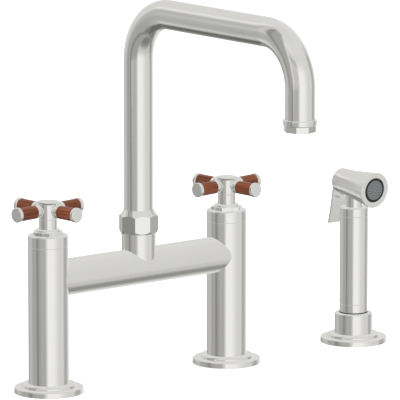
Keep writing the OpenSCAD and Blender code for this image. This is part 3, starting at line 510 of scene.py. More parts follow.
class Wiring:
    """Adds and links the nodes of one shader."""

    def __init__(self, tree):
        self.tree = tree

    def add(self, kind, inputs=None, **settings):
        """A node with its settings, and its inputs set or linked by name or number."""
        node = self.tree.nodes.new(kind)
        for key, value in settings.items():
            setattr(node, key, value)
        for key, value in (inputs or {}).items():
            if isinstance(value, bpy.types.NodeSocket):
                self.tree.links.new(value, node.inputs[key])
            else:
                node.inputs[key].default_value = value
        return node

    def link(self, source, socket):
        """Links an output to an input."""
        self.tree.links.new(source, socket)

    def noise(self, vector, scale, detail=3.0, roughness=0.5):
        """Value of a noise pattern."""
        return self.add(
            "ShaderNodeTexNoise",
            {"Vector": vector, "Scale": scale, "Detail": detail, "Roughness": roughness},
        ).outputs["Fac"]

    def spread(self, value, low, high, start=0.0, end=1.0, **settings):
        """A value spread from one range to another."""
        return self.add(
            "ShaderNodeMapRange",
            {"Value": value, "From Min": start, "From Max": end, "To Min": low, "To Max": high},
            **settings,
        ).outputs["Result"]

    def ramp(self, value, stops):
        """Colours along a value, as (place, colour) stops."""
        node = self.add("ShaderNodeValToRGB", {"Fac": value})
        ramp = node.color_ramp
        while len(ramp.elements) < len(stops):
            ramp.elements.new(1.0)
        for element, (place, shade) in zip(ramp.elements, stops):
            element.position = place
            element.color = (*shade, 1.0)
        return node.outputs["Color"]

    def mix(self, share, first, second):
        """A mix of two colours."""
        node = self.add("ShaderNodeMix", data_type="RGBA")
        for socket, value in ((0, share), (6, first), (7, second)):
            if isinstance(value, bpy.types.NodeSocket):
                self.link(value, node.inputs[socket])
            else:
                node.inputs[socket].default_value = value
        return node.outputs[2]

    def maths(self, operation, first, second=0.0, third=0.0):
        """One step of arithmetic."""
        return self.add(
            "ShaderNodeMath", {0: first, 1: second, 2: third}, operation=operation
        ).outputs[0]


def shade(colour, factor):
    """A colour made lighter or darker, as a socket value."""
    return (*(min(1.0, c * factor) for c in colour), 1.0)


def new_material(name):
    """A material, its wiring, its surface shader and its object coordinates."""
    material = bpy.data.materials.new(name)
    material.use_nodes = True
    wiring = Wiring(material.node_tree)
    surface = material.node_tree.nodes["Principled BSDF"]
    place = wiring.add("ShaderNodeTexCoord").outputs["Object"]
    return material, wiring, surface, place


def bump(wiring, surface, height, strength, distance):
    """Small relief from a height."""
    node = wiring.add(
        "ShaderNodeBump", {"Height": height, "Strength": strength, "Distance": distance}
    )
    wiring.link(node.outputs["Normal"], surface.inputs["Normal"])


def metal(name, tint, rough, rough_spread, grain=900.0, cloud=28.0, relief=0.02):
    """A metal whose polish varies softly, with fine marks from handling and polishing."""
    material, wiring, surface, place = new_material(name)
    clouds = wiring.noise(place, cloud, 4.0, 0.55)
    marks = wiring.noise(place, grain, 2.0, 0.6)
    surface.inputs["Metallic"].default_value = 1.0
    tone = wiring.mix(clouds, shade(tint, 0.985), shade(tint, 1.012))
    wiring.link(tone, surface.inputs["Base Color"])
    soft = wiring.spread(clouds, rough, rough + rough_spread, 0.3, 0.7)
    polish = wiring.maths("MULTIPLY_ADD", marks, rough_spread * 0.5, soft)
    wiring.link(polish, surface.inputs["Roughness"])
    bump(wiring, surface, marks, relief, 0.00002)
    return material


def plastic(name, tint, rough, grain=700.0, relief=0.15, specular=0.5):
    """Moulded plastic, rubber or ceramic with a fine surface grain and a slight change of tone."""
    material, wiring, surface, place = new_material(name)
    clouds = wiring.noise(place, 60.0, 3.0)
    marks = wiring.noise(place, grain, 3.0, 0.6)
    tone = wiring.mix(clouds, shade(tint, 0.88), shade(tint, 1.1))
    wiring.link(tone, surface.inputs["Base Color"])
    wiring.link(wiring.spread(marks, rough - 0.06, rough + 0.06), surface.inputs["Roughness"])
    surface.inputs["Specular IOR Level"].default_value = specular
    bump(wiring, surface, marks, relief, 0.00005)
    return material


def wood(name, light, dark, heading):
    """Oiled hardwood whose grain runs along a heading, with streaks, pores and a satin film."""
    material, wiring, surface, place = new_material(name)

    def mapped(vector, **change):
        """Turned or stretched coordinates."""
        return wiring.add("ShaderNodeMapping", {"Vector": vector, **change}).outputs[0]

    along = mapped(place, Rotation=(0, 0, -heading))
    stretched = mapped(along, Scale=(16, 600, 600))
    fine = mapped(along, Scale=(60, 2600, 2600))
    streaks = wiring.noise(stretched, 1.0, 5.0, 0.62)
    pores = wiring.noise(fine, 1.0, 3.0, 0.6)
    broad = wiring.noise(along, 60.0, 2.0)
    tone = wiring.maths("MULTIPLY_ADD", broad, 0.35, wiring.spread(streaks, -0.3, 0.95, 0.3, 0.7))
    base = wiring.ramp(
        tone,
        (
            (0.0, dark),
            (0.35, [d + (l - d) * 0.45 for d, l in zip(dark, light)]),
            (0.7, light),
            (1.0, [min(1.0, l * 1.2) for l in light]),
        ),
    )
    shadow = wiring.spread(pores, 0.0, 0.55, 0.5, 0.36)
    wiring.link(wiring.mix(shadow, base, shade(dark, 0.6)), surface.inputs["Base Color"])
    wiring.link(wiring.spread(streaks, 0.5, 0.36, 0.3, 0.7), surface.inputs["Roughness"])
    surface.inputs["Specular IOR Level"].default_value = 0.22
    surface.inputs["Coat Weight"].default_value = 0.06
    surface.inputs["Coat Roughness"].default_value = 0.22
    bump(wiring, surface, wiring.maths("MULTIPLY_ADD", pores, 0.6, streaks), 0.25, 0.00008)
    return material


def make_finishes(colours, arm_turn):
    """Makes each material once, with the record's slot it stands for."""
    light, dark = colours.wood_light, colours.wood_dark
    materials = {
        "nickel": metal("Polished nickel", colours.nickel, 0.06, 0.025),
        "brass": metal("Machined brass", colours.brass, 0.2, 0.12, relief=0.15),
        "steel": metal("Stainless steel", colours.steel, 0.18, 0.1, relief=0.12),
        "rubber": plastic("Black rubber", colours.rubber, 0.5, specular=0.35),
        "ceramic": plastic("Valve ceramic", colours.ceramic, 0.16, relief=0.03),
        "acetal": plastic("Moulded acetal", colours.acetal, 0.36, relief=0.08),
        "nozzle": plastic("Nozzle grey", colours.nozzle, 0.42, relief=0.1),
        "wood_row": wood("Wood along the row", light, dark, arm_turn),
        "wood_cross": wood("Wood across the row", light, dark, arm_turn + QUARTER),
    }
    for name, material in materials.items():
        FINISHES[name] = {"slot": name.split("_")[0], "material": material}


class FAUCET_OT_finishes(bpy.types.Operator):
    """Makes the finishes and gives them to the nodes that stay as they are"""

    bl_idname = "faucet.finishes"
    bl_label = "Finishes"

    def execute(self, context):
        scene = context.scene
        make_finishes(scene.faucet_finishes, scene.faucet_handles.arm_turn)
        by_slot = {}
        for finish in FINISHES.values():
            by_slot.setdefault(finish["slot"], finish["material"])
        for row in frame["record"]["subparts"]:
            node = frame["nodes"][row["node"]]
            for place in node.material_slots:
                place.material = by_slot[row["material_slot"]]
            # What lies under the deck is hidden by the floor, which mirrors don't see
            node.visible_glossy = False
        return {"FINISHED"}


class FAUCET_OT_flanges(bpy.types.Operator):
    """Turns the stepped flange and copies it under each column and the spray"""

    bl_idname = "faucet.flanges"
    bl_label = "Flanges"

    def execute(self, context):
        size = context.scene.faucet_body
        _, radius, foot, top = upright("left_flange")
        groove_out = size.groove_radius + size.groove_width
        rim, shoulder = size.rim_round, size.shoulder_round
        cove = top - size.rim_height - shoulder
        flange = turned(
            "flange_left",
            [
                (size.shank_bore, foot),
                (size.groove_radius, foot),
                (size.groove_radius, foot + size.groove_depth),
                (groove_out, foot + size.groove_depth),
                (groove_out, foot),
                (radius, foot),
                *arc(radius - rim, size.rim_height - rim, rim, 0, 90),
                *arc(size.step_radius + cove, size.rim_height + cove, cove, 270, 180),
                *arc(size.step_radius - shoulder, top - shoulder, shoulder, 0, 90)[1:],
                (size.shank_bore, top),
            ],
            hollow=True,
        )
        softened(flange)
        for name in ("right", "spray"):
            copy = copied(flange, f"flange_{name}", upright(f"{name}_flange")[0])
            placed(copy, f"{name}_flange")
        placed(moved(flange, upright("left_flange")[0]), "left_flange")
        return {"FINISHED"}


class FAUCET_OT_columns(bpy.types.Operator):
    """Turns the columns and the chamfered caps above their seams"""

    bl_idname = "faucet.columns"
    bl_label = "Columns"

    def execute(self, context):
        size = context.scene.faucet_body
        for side in ("left", "right"):
            axis, radius, foot, top = upright(f"{side}_column_cap")
            column_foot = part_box(f"{side}_column")[0].z
            seam = (radius, foot, size.seam_chamfer, CHAMFER)
            edge = (radius, top, size.cap_chamfer, CHAMFER)
            column = tube(f"column_{side}", size.column_bore, (radius, column_foot), seam)
            placed(softened(moved(column, axis)), f"{side}_column")
            cap = tube(f"cap_{side}", size.column_bore, seam, edge)
            placed(softened(moved(cap, axis)), f"{side}_column_cap")
        return {"FINISHED"}


class FAUCET_OT_bridge(bpy.types.Operator):
    """Makes the bridge tube, coped onto the columns, and the spout socket on top of it"""

    bl_idname = "faucet.bridge"
    bl_label = "Bridge and socket"

    def execute(self, context):
        size = context.scene.faucet_body
        column_radius = upright("right_column_cap")[1]
        column_x = middle_x("right_column_cap")
        low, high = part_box("bridge_tube")
        radius = (high.y - low.y) / 2
        axis_z = (low.z + high.z) / 2
        inner = radius - size.bridge_wall
        cope = column_radius + size.joint_gap
        end, band = column_x, size.hole_band
        outside = [(radius, x) for x in (-end, -band, band, end)]
        inside = [(inner, x) for x in (end, band, -band)]
        bridge = turned("bridge", [(inner, -end), *outside, *inside], hollow=True)
        coped(bridge, end, cope, column_x, -1)
        coped(bridge, -end, cope, -column_x, 1)
        moved(bridge, shift(z=axis_z) @ turn(QUARTER, "Y"))
        combined(bridge, rod("hole", size.bridge_hole, axis_z, high.z + radius))
        placed(softened(bridge), "bridge_tube")

        _, socket_radius, _, top = upright("spout_socket")
        socket = tube("socket", size.socket_bore, (socket_radius, 0), (socket_radius, top))
        coped(socket, 0, radius + size.joint_gap, axis_z)
        placed(softened(socket), "spout_socket")
        return {"FINISHED"}


# Steps of the nut's hollow cone, inwards and upwards, as shares of its width and height
NUT_CONE_SHARES = ((0, 0), (0.52, 0.44), (1, 1))


class FAUCET_OT_union_nut(bpy.types.Operator):
    """Cuts the union nut's flats, its cone, its chamfered foot and its stepped bore"""

    bl_idname = "faucet.union_nut"
    bl_label = "Union nut"

    def execute(self, context):
        size = context.scene.faucet_body
        low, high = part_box("spout_nut")
        radius = size.nut_radius
        nut = rod("union_nut", radius, low.z, high.z, NUT_SIDES)
        moved(nut, turn(size.nut_turn, "Z"))
        width, height = radius - size.nut_cone_radius, size.nut_cone_height
        cone = [
            (radius - width * inward, high.z - height * (1 - upward))
            for inward, upward in NUT_CONE_SHARES
        ]
        foot = [(size.nut_foot_radius, low.z), (radius, low.z + size.nut_foot_height)]
        combined(nut, turned("envelope", foot + cone), "INTERSECT")
        over, shoulder = size.nut_foot_height, low.z + size.nut_shoulder
        wide = [(size.nut_wide_bore, low.z - over), (size.nut_wide_bore, shoulder)]
        narrow = [(size.nut_bore, shoulder), (size.nut_bore, high.z + over)]
        combined(nut, turned("bore", wide + narrow))
        placed(softened(nut, size.nut_edge), "spout_nut")
        return {"FINISHED"}


class FAUCET_OT_spout(bpy.types.Operator):
    """Draws the spout up, round its two bends and down to the outlet"""

    bl_idname = "faucet.spout"
    bl_label = "Spout"

    def execute(self, context):
        size = context.scene.faucet_body
        low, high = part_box("spout_tube")
        radius = (high.x - low.x) / 2
        reach = -low.y - radius
        run_z = high.z - radius - size.bend_radius
        tube_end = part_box("spout_collar")[0].z
        # The riser starts at the seat of the spout's foot, below the outlet
        spout = ring_of_edges("spout", radius, low.z)
        bend = {"steps": BEND_STEPS, "angle": -QUARTER, "axis": (1, 0, 0)}
        extrude(0, 0, run_z - low.z)
        bpy.ops.mesh.spin(center=(0, -size.bend_radius, run_z), **bend)
        extrude(0, 2 * size.bend_radius - reach, 0)
        bpy.ops.mesh.spin(center=(0, size.bend_radius - reach, run_z), **bend)
        extrude(0, 0, tube_end - run_z)
        weld()
        clear()
        wall = spout.modifiers.new("Wall", "SOLIDIFY")
        wall.thickness = size.spout_wall
        wall.offset = -1
        wall.use_even_offset = True
        apply_modifiers(spout)
        placed(softened(spout), "spout_tube")
        return {"FINISHED"}


class FAUCET_OT_outlet(bpy.types.Operator):
    """Makes the rounded collar on the outlet and the aerator's housing under it"""

    bl_idname = "faucet.outlet"
    bl_label = "Outlet"

    def execute(self, context):
        size = context.scene.faucet_body
        axis, radius, foot, top = upright("spout_collar")
        edges = [(radius, height, size.collar_round) for height in (foot, top)]
        collar = tube("outlet_collar", size.collar_bore, *edges)
        placed(softened(moved(collar, axis)), "spout_collar")

        axis, _, foot, top = upright("aerator_housing")
        radius = size.aerator_radius
        flats_top = foot + size.flats_height
        housing = rod("aerator", radius, foot, flats_top, AERATOR_SIDES)
        moved(housing, turn(size.aerator_turn, "Z"))
        spigot = rod("spigot", size.aerator_spigot, flats_top - size.collar_round, top)
        combined(housing, spigot, "UNION")
        combined(housing, rod("bore", size.aerator_bore, foot - radius, top + radius))
        placed(softened(moved(housing, axis), size.aerator_edge), "aerator_housing")
        return {"FINISHED"}


class FAUCET_OT_bonnets(bpy.types.Operator):
    """Makes the bonnets that screw into the caps, with six flats and a rounded shoulder"""

    bl_idname = "faucet.bonnets"
    bl_label = "Bonnets"

    def execute(self, context):
        size = context.scene.faucet_handles
        body = context.scene.faucet_body
        cap_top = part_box("left_column_cap")[1].z
        thread = body.column_bore - body.joint_gap
        tier = cap_top + size.bonnet_height
        shoulder, top_radius = size.bonnet_top_round, size.bonnet_top_radius
        turns = {"left": size.left_bonnet_turn, "right": size.right_bonnet_turn}
        for side, flats_turn in turns.items():
            axis, _, foot, top = upright(f"{side}_bonnet")
            cove = top - tier - shoulder
            bonnet = turned(
                f"bonnet_{side}",
                [
                    (thread, foot),
                    (thread, tier),
                    *arc(top_radius + cove, tier + cove, cove, 270, 180),
                    *arc(top_radius - shoulder, top - shoulder, shoulder, 0, 90),
                ],
            )
            flats = rod("flats", size.bonnet_radius, cap_top, tier, BONNET_SIDES)
            combined(bonnet, moved(flats, turn(flats_turn - QUARTER, "Z")), "UNION")
            combined(bonnet, rod("bore", size.bonnet_bore, foot - thread, top + thread))
            placed(softened(moved(bonnet, axis)), f"{side}_bonnet")
        return {"FINISHED"}


def arm_places(side, size):
    """Places of a handle's four arms, whose pieces lie along their own Z."""
    hub = upright(f"{side}_skirt")[0] @ shift(z=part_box("left_hub")[0].z + size.arm_rise)
    turns = [size.arm_turn + i * QUARTER for i in range(4)]
    return [hub @ turn(amount, "Z") @ turn(QUARTER, "Y") for amount in turns]


class FAUCET_OT_handles(bpy.types.Operator):
    """Makes the skirts, hubs, arm collars, end caps and hub caps of both cross handles"""

    bl_idname = "faucet.handles"
    bl_label = "Cross handles"

    def execute(self, context):
        size = context.scene.faucet_handles
        gap = context.scene.faucet_body.joint_gap
        _, radius, skirt_foot, skirt_top = upright("left_skirt")
        _, _, hub_foot, hub_top = upright("left_hub")
        grip_end = size.arm_length - size.end_cap_thickness
        rod_end = grip_end + size.end_cap_socket
        skirt_seam = (radius, skirt_top, size.seam_round, SOFT_STEPS)
        skirt = tube("skirt", size.skirt_bore, (radius, skirt_foot), skirt_seam)
        hub_seam = (radius, hub_foot, size.seam_round, SOFT_STEPS)
        hub = tube("hub", size.hub_bore, hub_seam, (radius, hub_top))
        edge, cap_top = size.hub_cap_round, hub_top + size.hub_cap_height
        flare = (size.hub_cap_radius - edge - radius, size.hub_cap_height - 2 * edge)
        hub_cap = turned(
            "hub_cap",
            [
                (size.hub_bore, hub_top),
                *arc(radius + flare[0], hub_top, flare, 180, 90),
                *arc(size.hub_cap_radius - edge, cap_top - edge, edge, -90, 90)[1:],
                (size.hub_bore, cap_top),
            ],
        )
        dome = (size.grip_inner - size.collar_neck, size.dome_end - size.dome_start)
        arm = turned(
            "arm",
            [
                (size.rod_radius, size.rod_start),
                (size.rod_radius, radius),
                (size.collar_neck, radius),
                *arc(size.collar_neck, size.dome_end, dome, -90, 0),
                (size.grip_inner, size.grip_start),
                (size.rod_radius, size.grip_start),
                (size.rod_radius, rod_end),
            ],
            sides=SMALL_SIDES,
        )
        coped(arm, radius, radius + gap, 0)
        end_cap = turned(
            "end_cap",
            (
                (size.grip_bore, rod_end + gap),
                (size.grip_bore, grip_end),
                (size.end_cap_radius, grip_end, size.end_cap_chamfer, CHAMFER),
                (size.end_cap_radius, size.arm_length, size.end_cap_chamfer, CHAMFER),
            ),
            sides=SMALL_SIDES,
        )
        for piece in (skirt, hub, hub_cap, arm, end_cap):
            softened(piece)
        for side in ("left", "right"):
            axis = upright(f"{side}_skirt")[0]
            placed(copied(skirt, f"skirt_{side}", axis), f"{side}_skirt")
            placed(copied(hub, f"hub_{side}", axis), f"{side}_hub")
            placed(copied(hub_cap, f"hub_cap_{side}", axis), f"{side}_handle_caps")
            for i, place in enumerate(arm_places(side, size), 1):
                placed(copied(arm, f"arm_{side}_{i}", place), f"{side}_arm_rods")
                placed(copied(end_cap, f"end_cap_{side}_{i}", place), f"{side}_handle_caps")
        for piece in (skirt, hub, hub_cap, arm, end_cap):
            bpy.data.objects.remove(piece)
        return {"FINISHED"}


class FAUCET_OT_grips(bpy.types.Operator):
    """Turns the wooden grips and slides them onto the arms"""

    bl_idname = "faucet.grips"
    bl_label = "Wooden grips"

    def execute(self, context):
        size = context.scene.faucet_handles
        grip_end = size.arm_length - size.end_cap_thickness
        inner = (size.grip_inner, size.grip_start, size.grip_edge, EDGE_STEPS)
        outer = (size.grip_outer, grip_end, size.grip_edge, EDGE_STEPS)
        grip = softened(tube("grip", size.grip_bore, inner, outer, SMALL_SIDES))
        for side in ("left", "right"):
            for i, place in enumerate(arm_places(side, size), 1):
                finish = "wood_row" if i % 2 else "wood_cross"
                placed(copied(grip, f"grip_{side}_{i}", place), f"{side}_wood_grips", finish)
        bpy.data.objects.remove(grip)
        return {"FINISHED"}


class FAUCET_OT_spray_body(bpy.types.Operator):
    """Turns the spray's holder, its handle and the rings at both ends"""

    bl_idname = "faucet.spray_body"
    bl_label = "Spray holder and handle"

    def execute(self, context):
        size = context.scene.faucet_spray
        body = context.scene.faucet_body
        axis, radius, foot, top = upright("spray_holder")
        seat = foot + size.holder_seat
        holder = turned(
            "holder",
            (
                (body.shank_bore, foot),
                (radius, foot),
                (radius, top, size.holder_chamfer, CHAMFER),
                (size.holder_bore, top),
                (size.holder_bore, seat),
                (body.shank_bore, seat),
            ),
            hollow=True,
        )
        placed(softened(moved(holder, axis)), "spray_holder")

        shoulder = top + size.foot_gap
        liner_radius, liner_top = size.holder_bore - body.joint_gap, top - body.joint_gap
        liner = turned(
            "liner",
            (
                (size.liner_bore, seat),
                (liner_radius, seat),
                (liner_radius, liner_top),
                (size.liner_lip, liner_top),
                (size.liner_lip, shoulder - size.lip_gap),
                (size.liner_bore, shoulder - size.lip_gap),
            ),
            hollow=True,
        )
        placed(softened(moved(liner, axis)), "holder_liner", "rubber")
        axis, radius, foot, top = upright("spray_bottom_ring")
        bottom_ring = turned(
            "spray_bottom_ring_turned",
            (
                (size.bottom_ring_bore, foot),
                (size.foot_radius, foot, size.ring_chamfer, CHAMFER),
                (size.foot_radius, shoulder),
                (radius, shoulder, body.seam_chamfer, CHAMFER),
                (radius, top, body.seam_chamfer, CHAMFER),
                (size.bottom_ring_bore, top),
            ),
            hollow=True,
        )
        placed(softened(moved(bottom_ring, axis)), "spray_bottom_ring")
        rows = (
            ("spray_handle", size.handle_bore, body.seam_chamfer),
            ("spray_top_ring", size.top_ring_bore, size.ring_chamfer),
        )
        for node, bore, top_chamfer in rows:
            axis, radius, foot, top = upright(node)
            low = (radius, foot, body.seam_chamfer, CHAMFER)
            high = (radius, top, top_chamfer, CHAMFER)
            piece = tube(f"{node}_turned", bore, low, high)
            placed(softened(moved(piece, axis)), node)
        return {"FINISHED"}


def on_head(size):
    """The spray head's axis as a matrix, with the face towards the piece's own +Z."""
    place = shift(middle_x("spray_handle"), 0, size.head_height)
    return place @ turn(QUARTER + size.head_tilt, "X")


# Steps of the spray head's flare
FLARE_STEPS = 18
# Where the flat of the head's back ends and where a ring of the neck lies, as shares of the
# back's radius
BACK_FLAT_SHARE = 0.5
NECK_RING_SHARE = 1.1


class FAUCET_OT_spray_head(bpy.types.Operator):
    """Makes the flared spray head on its neck, with the nozzle's recess and the lever's slot"""

    bl_idname = "faucet.spray_head"
    bl_label = "Spray head"

    def execute(self, context):
        size = context.scene.faucet_spray
        x = middle_x("spray_handle")
        back, front = -size.head_back, size.head_front
        reach = front + size.flare_start
        flare = []
        for i in range(1, FLARE_STEPS):
            z = -size.flare_start + reach * i / FLARE_STEPS
            share = (i / FLARE_STEPS) ** size.flare_power
            flare.append((size.back_radius + (size.face_radius - size.back_radius) * share, z))
        head = turned(
            "head",
            [
                (size.back_radius * BACK_FLAT_SHARE, back),
                (size.back_radius, back, size.back_round, BACK_STEPS),
                *flare,
                (size.face_radius, front, size.face_round, FACE_STEPS),
                (size.recess_radius, front),
                (size.recess_radius, front - size.recess_depth),
            ],
        )
        moved(head, on_head(size))
        neck_heights = (
            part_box("spray_head")[0].z,
            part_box("spray_top_ring")[1].z,
            size.head_height - size.back_radius * NECK_RING_SHARE,
            size.head_height,
        )
        neck = turned("neck", [(size.neck_radius, z) for z in neck_heights])
        combined(head, moved(neck, shift(x)), "UNION")
        slot_foot = size.head_height - 2 * size.back_radius
        slot = side_box(
            "slot", size.slot_front, size.slot_back, size.slot_top, slot_foot, size.slot_width
        )
        combined(head, moved(slot, shift(x)))
        hole = rod("pin_hole", size.pin_hole, -size.neck_radius, 2 * size.back_radius, PIN_SIDES)
        pin = shift(x, size.pin_reach, size.pin_height) @ turn(QUARTER, "Y")
        combined(head, moved(hole, pin))
        placed(softened(head), "spray_head")
        return {"FINISHED"}


# Rings of jets in the nozzle plate, and how many jets each ring has more than the last
JET_RINGS = 3
JET_STEP = 6


class FAUCET_OT_spray_face(bpy.types.Operator):
    """Turns the black ring in the spray face, and drills the nozzle plate"""

    bl_idname = "faucet.spray_face"
    bl_label = "Spray face"

    def execute(self, context):
        size = context.scene.faucet_spray
        gap = context.scene.faucet_body.joint_gap
        front = size.head_front
        inner, outer = size.plate_radius + gap, size.recess_radius - gap
        ring = turned(
            "face_ring",
            (
                (inner, front - size.recess_depth),
                (outer, front - size.recess_depth),
                (outer, front - gap, size.ring_round, RING_STEPS),
                (inner, front - gap, size.ring_round, RING_STEPS),
            ),
            hollow=True,
        )
        placed(softened(moved(ring, on_head(size))), "nozzle_ring", "rubber")

        top = front + size.plate_rise
        plate = turned(
            "nozzle_plate_turned",
            (
                (size.plate_radius, top - size.plate_thickness),
                (size.plate_radius, top, size.plate_round, EDGE_STEPS),
            ),
        )
        jet = rod("jet", size.jet_radius, top - size.jet_depth, top + size.jet_depth, JET_SIDES)
        for ring_number in range(1, JET_RINGS + 1):
            jets = JET_STEP * ring_number
            for i in range(jets):
                place = turn(tau * i / jets, "Z") @ shift(size.jet_spacing * ring_number)
                combined(plate, copied(jet, "jet_place", place))
        bpy.data.objects.remove(jet)
        placed(softened(moved(plate, on_head(size))), "nozzle_plate", "nozzle")
        return {"FINISHED"}


class FAUCET_OT_spray_lever(bpy.types.Operator):
    """Bends the paddle lever's plate, copes it under the head and adds its shelf, lug and nose"""

    bl_idname = "faucet.spray_lever"
    bl_label = "Spray lever"

    def execute(self, context):
        size = context.scene.faucet_spray
        low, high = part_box("spray_lever")
        x = middle_x("spray_lever")
        thick = size.lever_thickness
        top_y, mid_y, foot_y = size.lever_top, size.lever_middle, high.y
        foot_z, top_z = low.z, size.pin_height
        mid_z = (foot_z + top_z) / 2
        plate = extruded(
            "lever",
            (
                (top_y - thick, top_z),
                (top_y, top_z),
                (mid_y, mid_z),
                (foot_y, foot_z),
                (foot_y - thick, foot_z),
                (mid_y - thick, mid_z),
            ),
            size.lever_width,
        )
        cope = rod("cope", size.lever_clearance, -2 * size.head_back, size.head_front)
        combined(plate, moved(cope, on_head(size)))
        moved(plate, shift(x))
        y, radius, z = size.pin_reach, size.lug_radius, size.pin_height
        shelf_top = size.shelf_height
        shelf_foot = shelf_top - size.shelf_thickness
        shelf_y = top_y + (mid_y - top_y) * (top_z - shelf_top) / (top_z - mid_z) - thick / 2
        shelf_width = size.lever_width - 2 * thick
        shelf = side_box("shelf", y - radius, shelf_y, shelf_top, shelf_foot, shelf_width)
        half_lug = size.lug_width / 2
        lug = side_box("lug", y - radius, y + radius, z, shelf_foot, size.lug_width)
        combined(lug, shelf, "UNION")
        barrel = rod("barrel", radius, -half_lug, half_lug, SMALL_SIDES)
        combined(lug, moved(barrel, shift(0, y, z) @ turn(QUARTER, "Y")), "UNION")
        nose_top = z + size.nose_top
        nose_foot = nose_top - size.nose_thickness
        nose = side_box("nose", y - size.nose_reach, y, nose_top, nose_foot, size.lug_width)
        combined(lug, nose, "UNION")
        combined(plate, moved(lug, shift(x)), "UNION")
        hole = rod("hole", size.lever_hole, -size.lug_width, size.lug_width, PIN_SIDES)
        combined(plate, moved(hole, shift(x, y, z) @ turn(QUARTER, "Y")))
        placed(softened(plate, size.lever_edge, EDGE_STEPS), "spray_lever")
        return {"FINISHED"}


# Brightness of the empty studio from its floor to its ceiling, as (degrees above level, brightness)
STUDIO_GRADE = (
    (-90, 0.42), (-75, 0.24), (-62, 0.25), (-52, 0.35), (-40, 0.64), (-30, 0.66), (-20, 0.75),
    (5, 0.76), (25, 0.77), (60, 0.81), (90, 0.75),
)
# Soft boxes, screens and flags round the faucet: where each starts and ends, in degrees round from
# the camera's side, with the fades of both edges, then its foot and top in degrees above level,
# with theirs, and its brightness. Later ones stand in front of earlier ones.
STUDIO_PANELS = (
    ("back floor", 184, 241, 20, 9, -90, -22, 0, 35, 0.17),
    ("back skirting", 181, 226, 17, 2, -35, -10, 5, 17, 0.32),
    ("back wall", 139, 176, 24, 19, -47, 58, 27, 19, 0.83),
    ("side screen foot", 101, 125, 21, 17, -90, -10, 0, 7, 0.33),
    ("side screen", 103, 131, 1, 29, -21, 27, 9, 16, 0.48),
    ("window", -4, 47, 1, 50, -26, 27, 30, 28, 1.01),
    ("sill", -57, -13, 8, 9, -94, -4, 6, 10, 0.41),
    ("shelf", -43, -11, 2, 2, -8, 19, 27, 4, 0.64),
    ("shelf shadow", -46, -8, 6, 9, 21, 31, 5, 8, 0.54),
    ("edge light", -59, -46, 8, 3, -9, 45, 2, 9, 0.81),
    ("ceiling strip", -50, -16, 6, 13, 42, 51, 11, 4, 0.87),
    ("far screen foot", -131, -101, 8, 2, -49, -8, 10, 25, 0.51),
    ("far screen", -116, -104, 5, 4, -6, 36, 2, 18, 0.58),
    ("far lamp", -123, -112, 10, 17, 25, 59, 10, 9, 0.93),
    ("low lamp", -136, -116, 1, 14, -35, -19, 6, 9, 0.77),
    ("dark screen", -104, -60, 17, 2, -54, 66, 22, 18, 0.44),
    ("dark gap", -93, -85, 3, 3, -9, 59, 2, 2, 0.32),
    ("light gap", -102, -94, 6, 8, 2, 62, 14, 6, 0.70),
    ("pillar head", -61, -54, 2, 3, -7, 55, 9, 25, 0.51),
    ("pillar", -70, -55, 3, 1, -90, -6, 0, 9, 0.30),
)
# Direction of the camera's side, in degrees back from +X
CAMERA_SIDE = 128.8
# Where the camera stands, and the width of its sensor in millimetres
CAMERA_PLACE = (-2.69998, -3.44708, 0.94217)
SENSOR_WIDTH = 36.0
# Place of the overhead light in front of the row of columns, and cells along the floor's side
LIGHT_Y = -0.4
FLOOR_CELLS = 8


def studio_shade(value):
    """A brightness as a faintly warm light."""
    return (value, value * 0.995, value * (0.95 + 0.04 * value), 1.0)


def studio_light(world, ambient):
    """A studio of soft panels, mirrored in the nickel; the camera sees plain white round it."""
    world.use_nodes = True
    wiring = Wiring(world.node_tree)
    direction = wiring.add("ShaderNodeTexCoord").outputs["Generated"]
    parts = wiring.add("ShaderNodeSeparateXYZ", {0: direction}).outputs
    heading = wiring.maths("DEGREES", wiring.maths("ARCTAN2", parts["Y"], parts["X"]))
    height = wiring.maths("DEGREES", wiring.maths("ARCSINE", parts["Z"]))

    def edge(value, place, fade, rising):
        """Fades from nothing to all, or back, over an edge."""
        ends = (0.0, 1.0) if rising else (1.0, 0.0)
        return wiring.spread(
            value, *ends, place - fade / 2, place + fade / 2, interpolation_type="SMOOTHSTEP"
        )

    light = wiring.ramp(
        wiring.spread(height, 0.0, 1.0, -90.0, 90.0),
        [((h + 90) / 180, studio_shade(v)[:3]) for h, v in STUDIO_GRADE],
    )
    for _, start, end, fade_start, fade_end, *upward, brightness in STUDIO_PANELS:
        foot, top, fade_foot, fade_top = upward
        middle = (start + end) / 2
        around = wiring.maths("ADD", heading, CAMERA_SIDE)
        around = wiring.maths("WRAP", around, middle + 180, middle - 180)
        near, far = edge(around, start, fade_start, True), edge(around, end, fade_end, False)
        share = wiring.maths("MULTIPLY", near, far)
        share = wiring.maths("MULTIPLY", share, edge(height, top, fade_top, False))
        if fade_foot:
            share = wiring.maths("MULTIPLY", share, edge(height, foot, fade_foot, True))
        light = wiring.mix(share, light, studio_shade(brightness))
    ray = wiring.add("ShaderNodeLightPath").outputs
    matt = wiring.mix(ray["Is Diffuse Ray"], light, (ambient, ambient, ambient, 1))
    seen = wiring.mix(ray["Is Camera Ray"], matt, (1, 1, 1, 1))
    wiring.link(seen, world.node_tree.nodes["Background"].inputs["Color"])


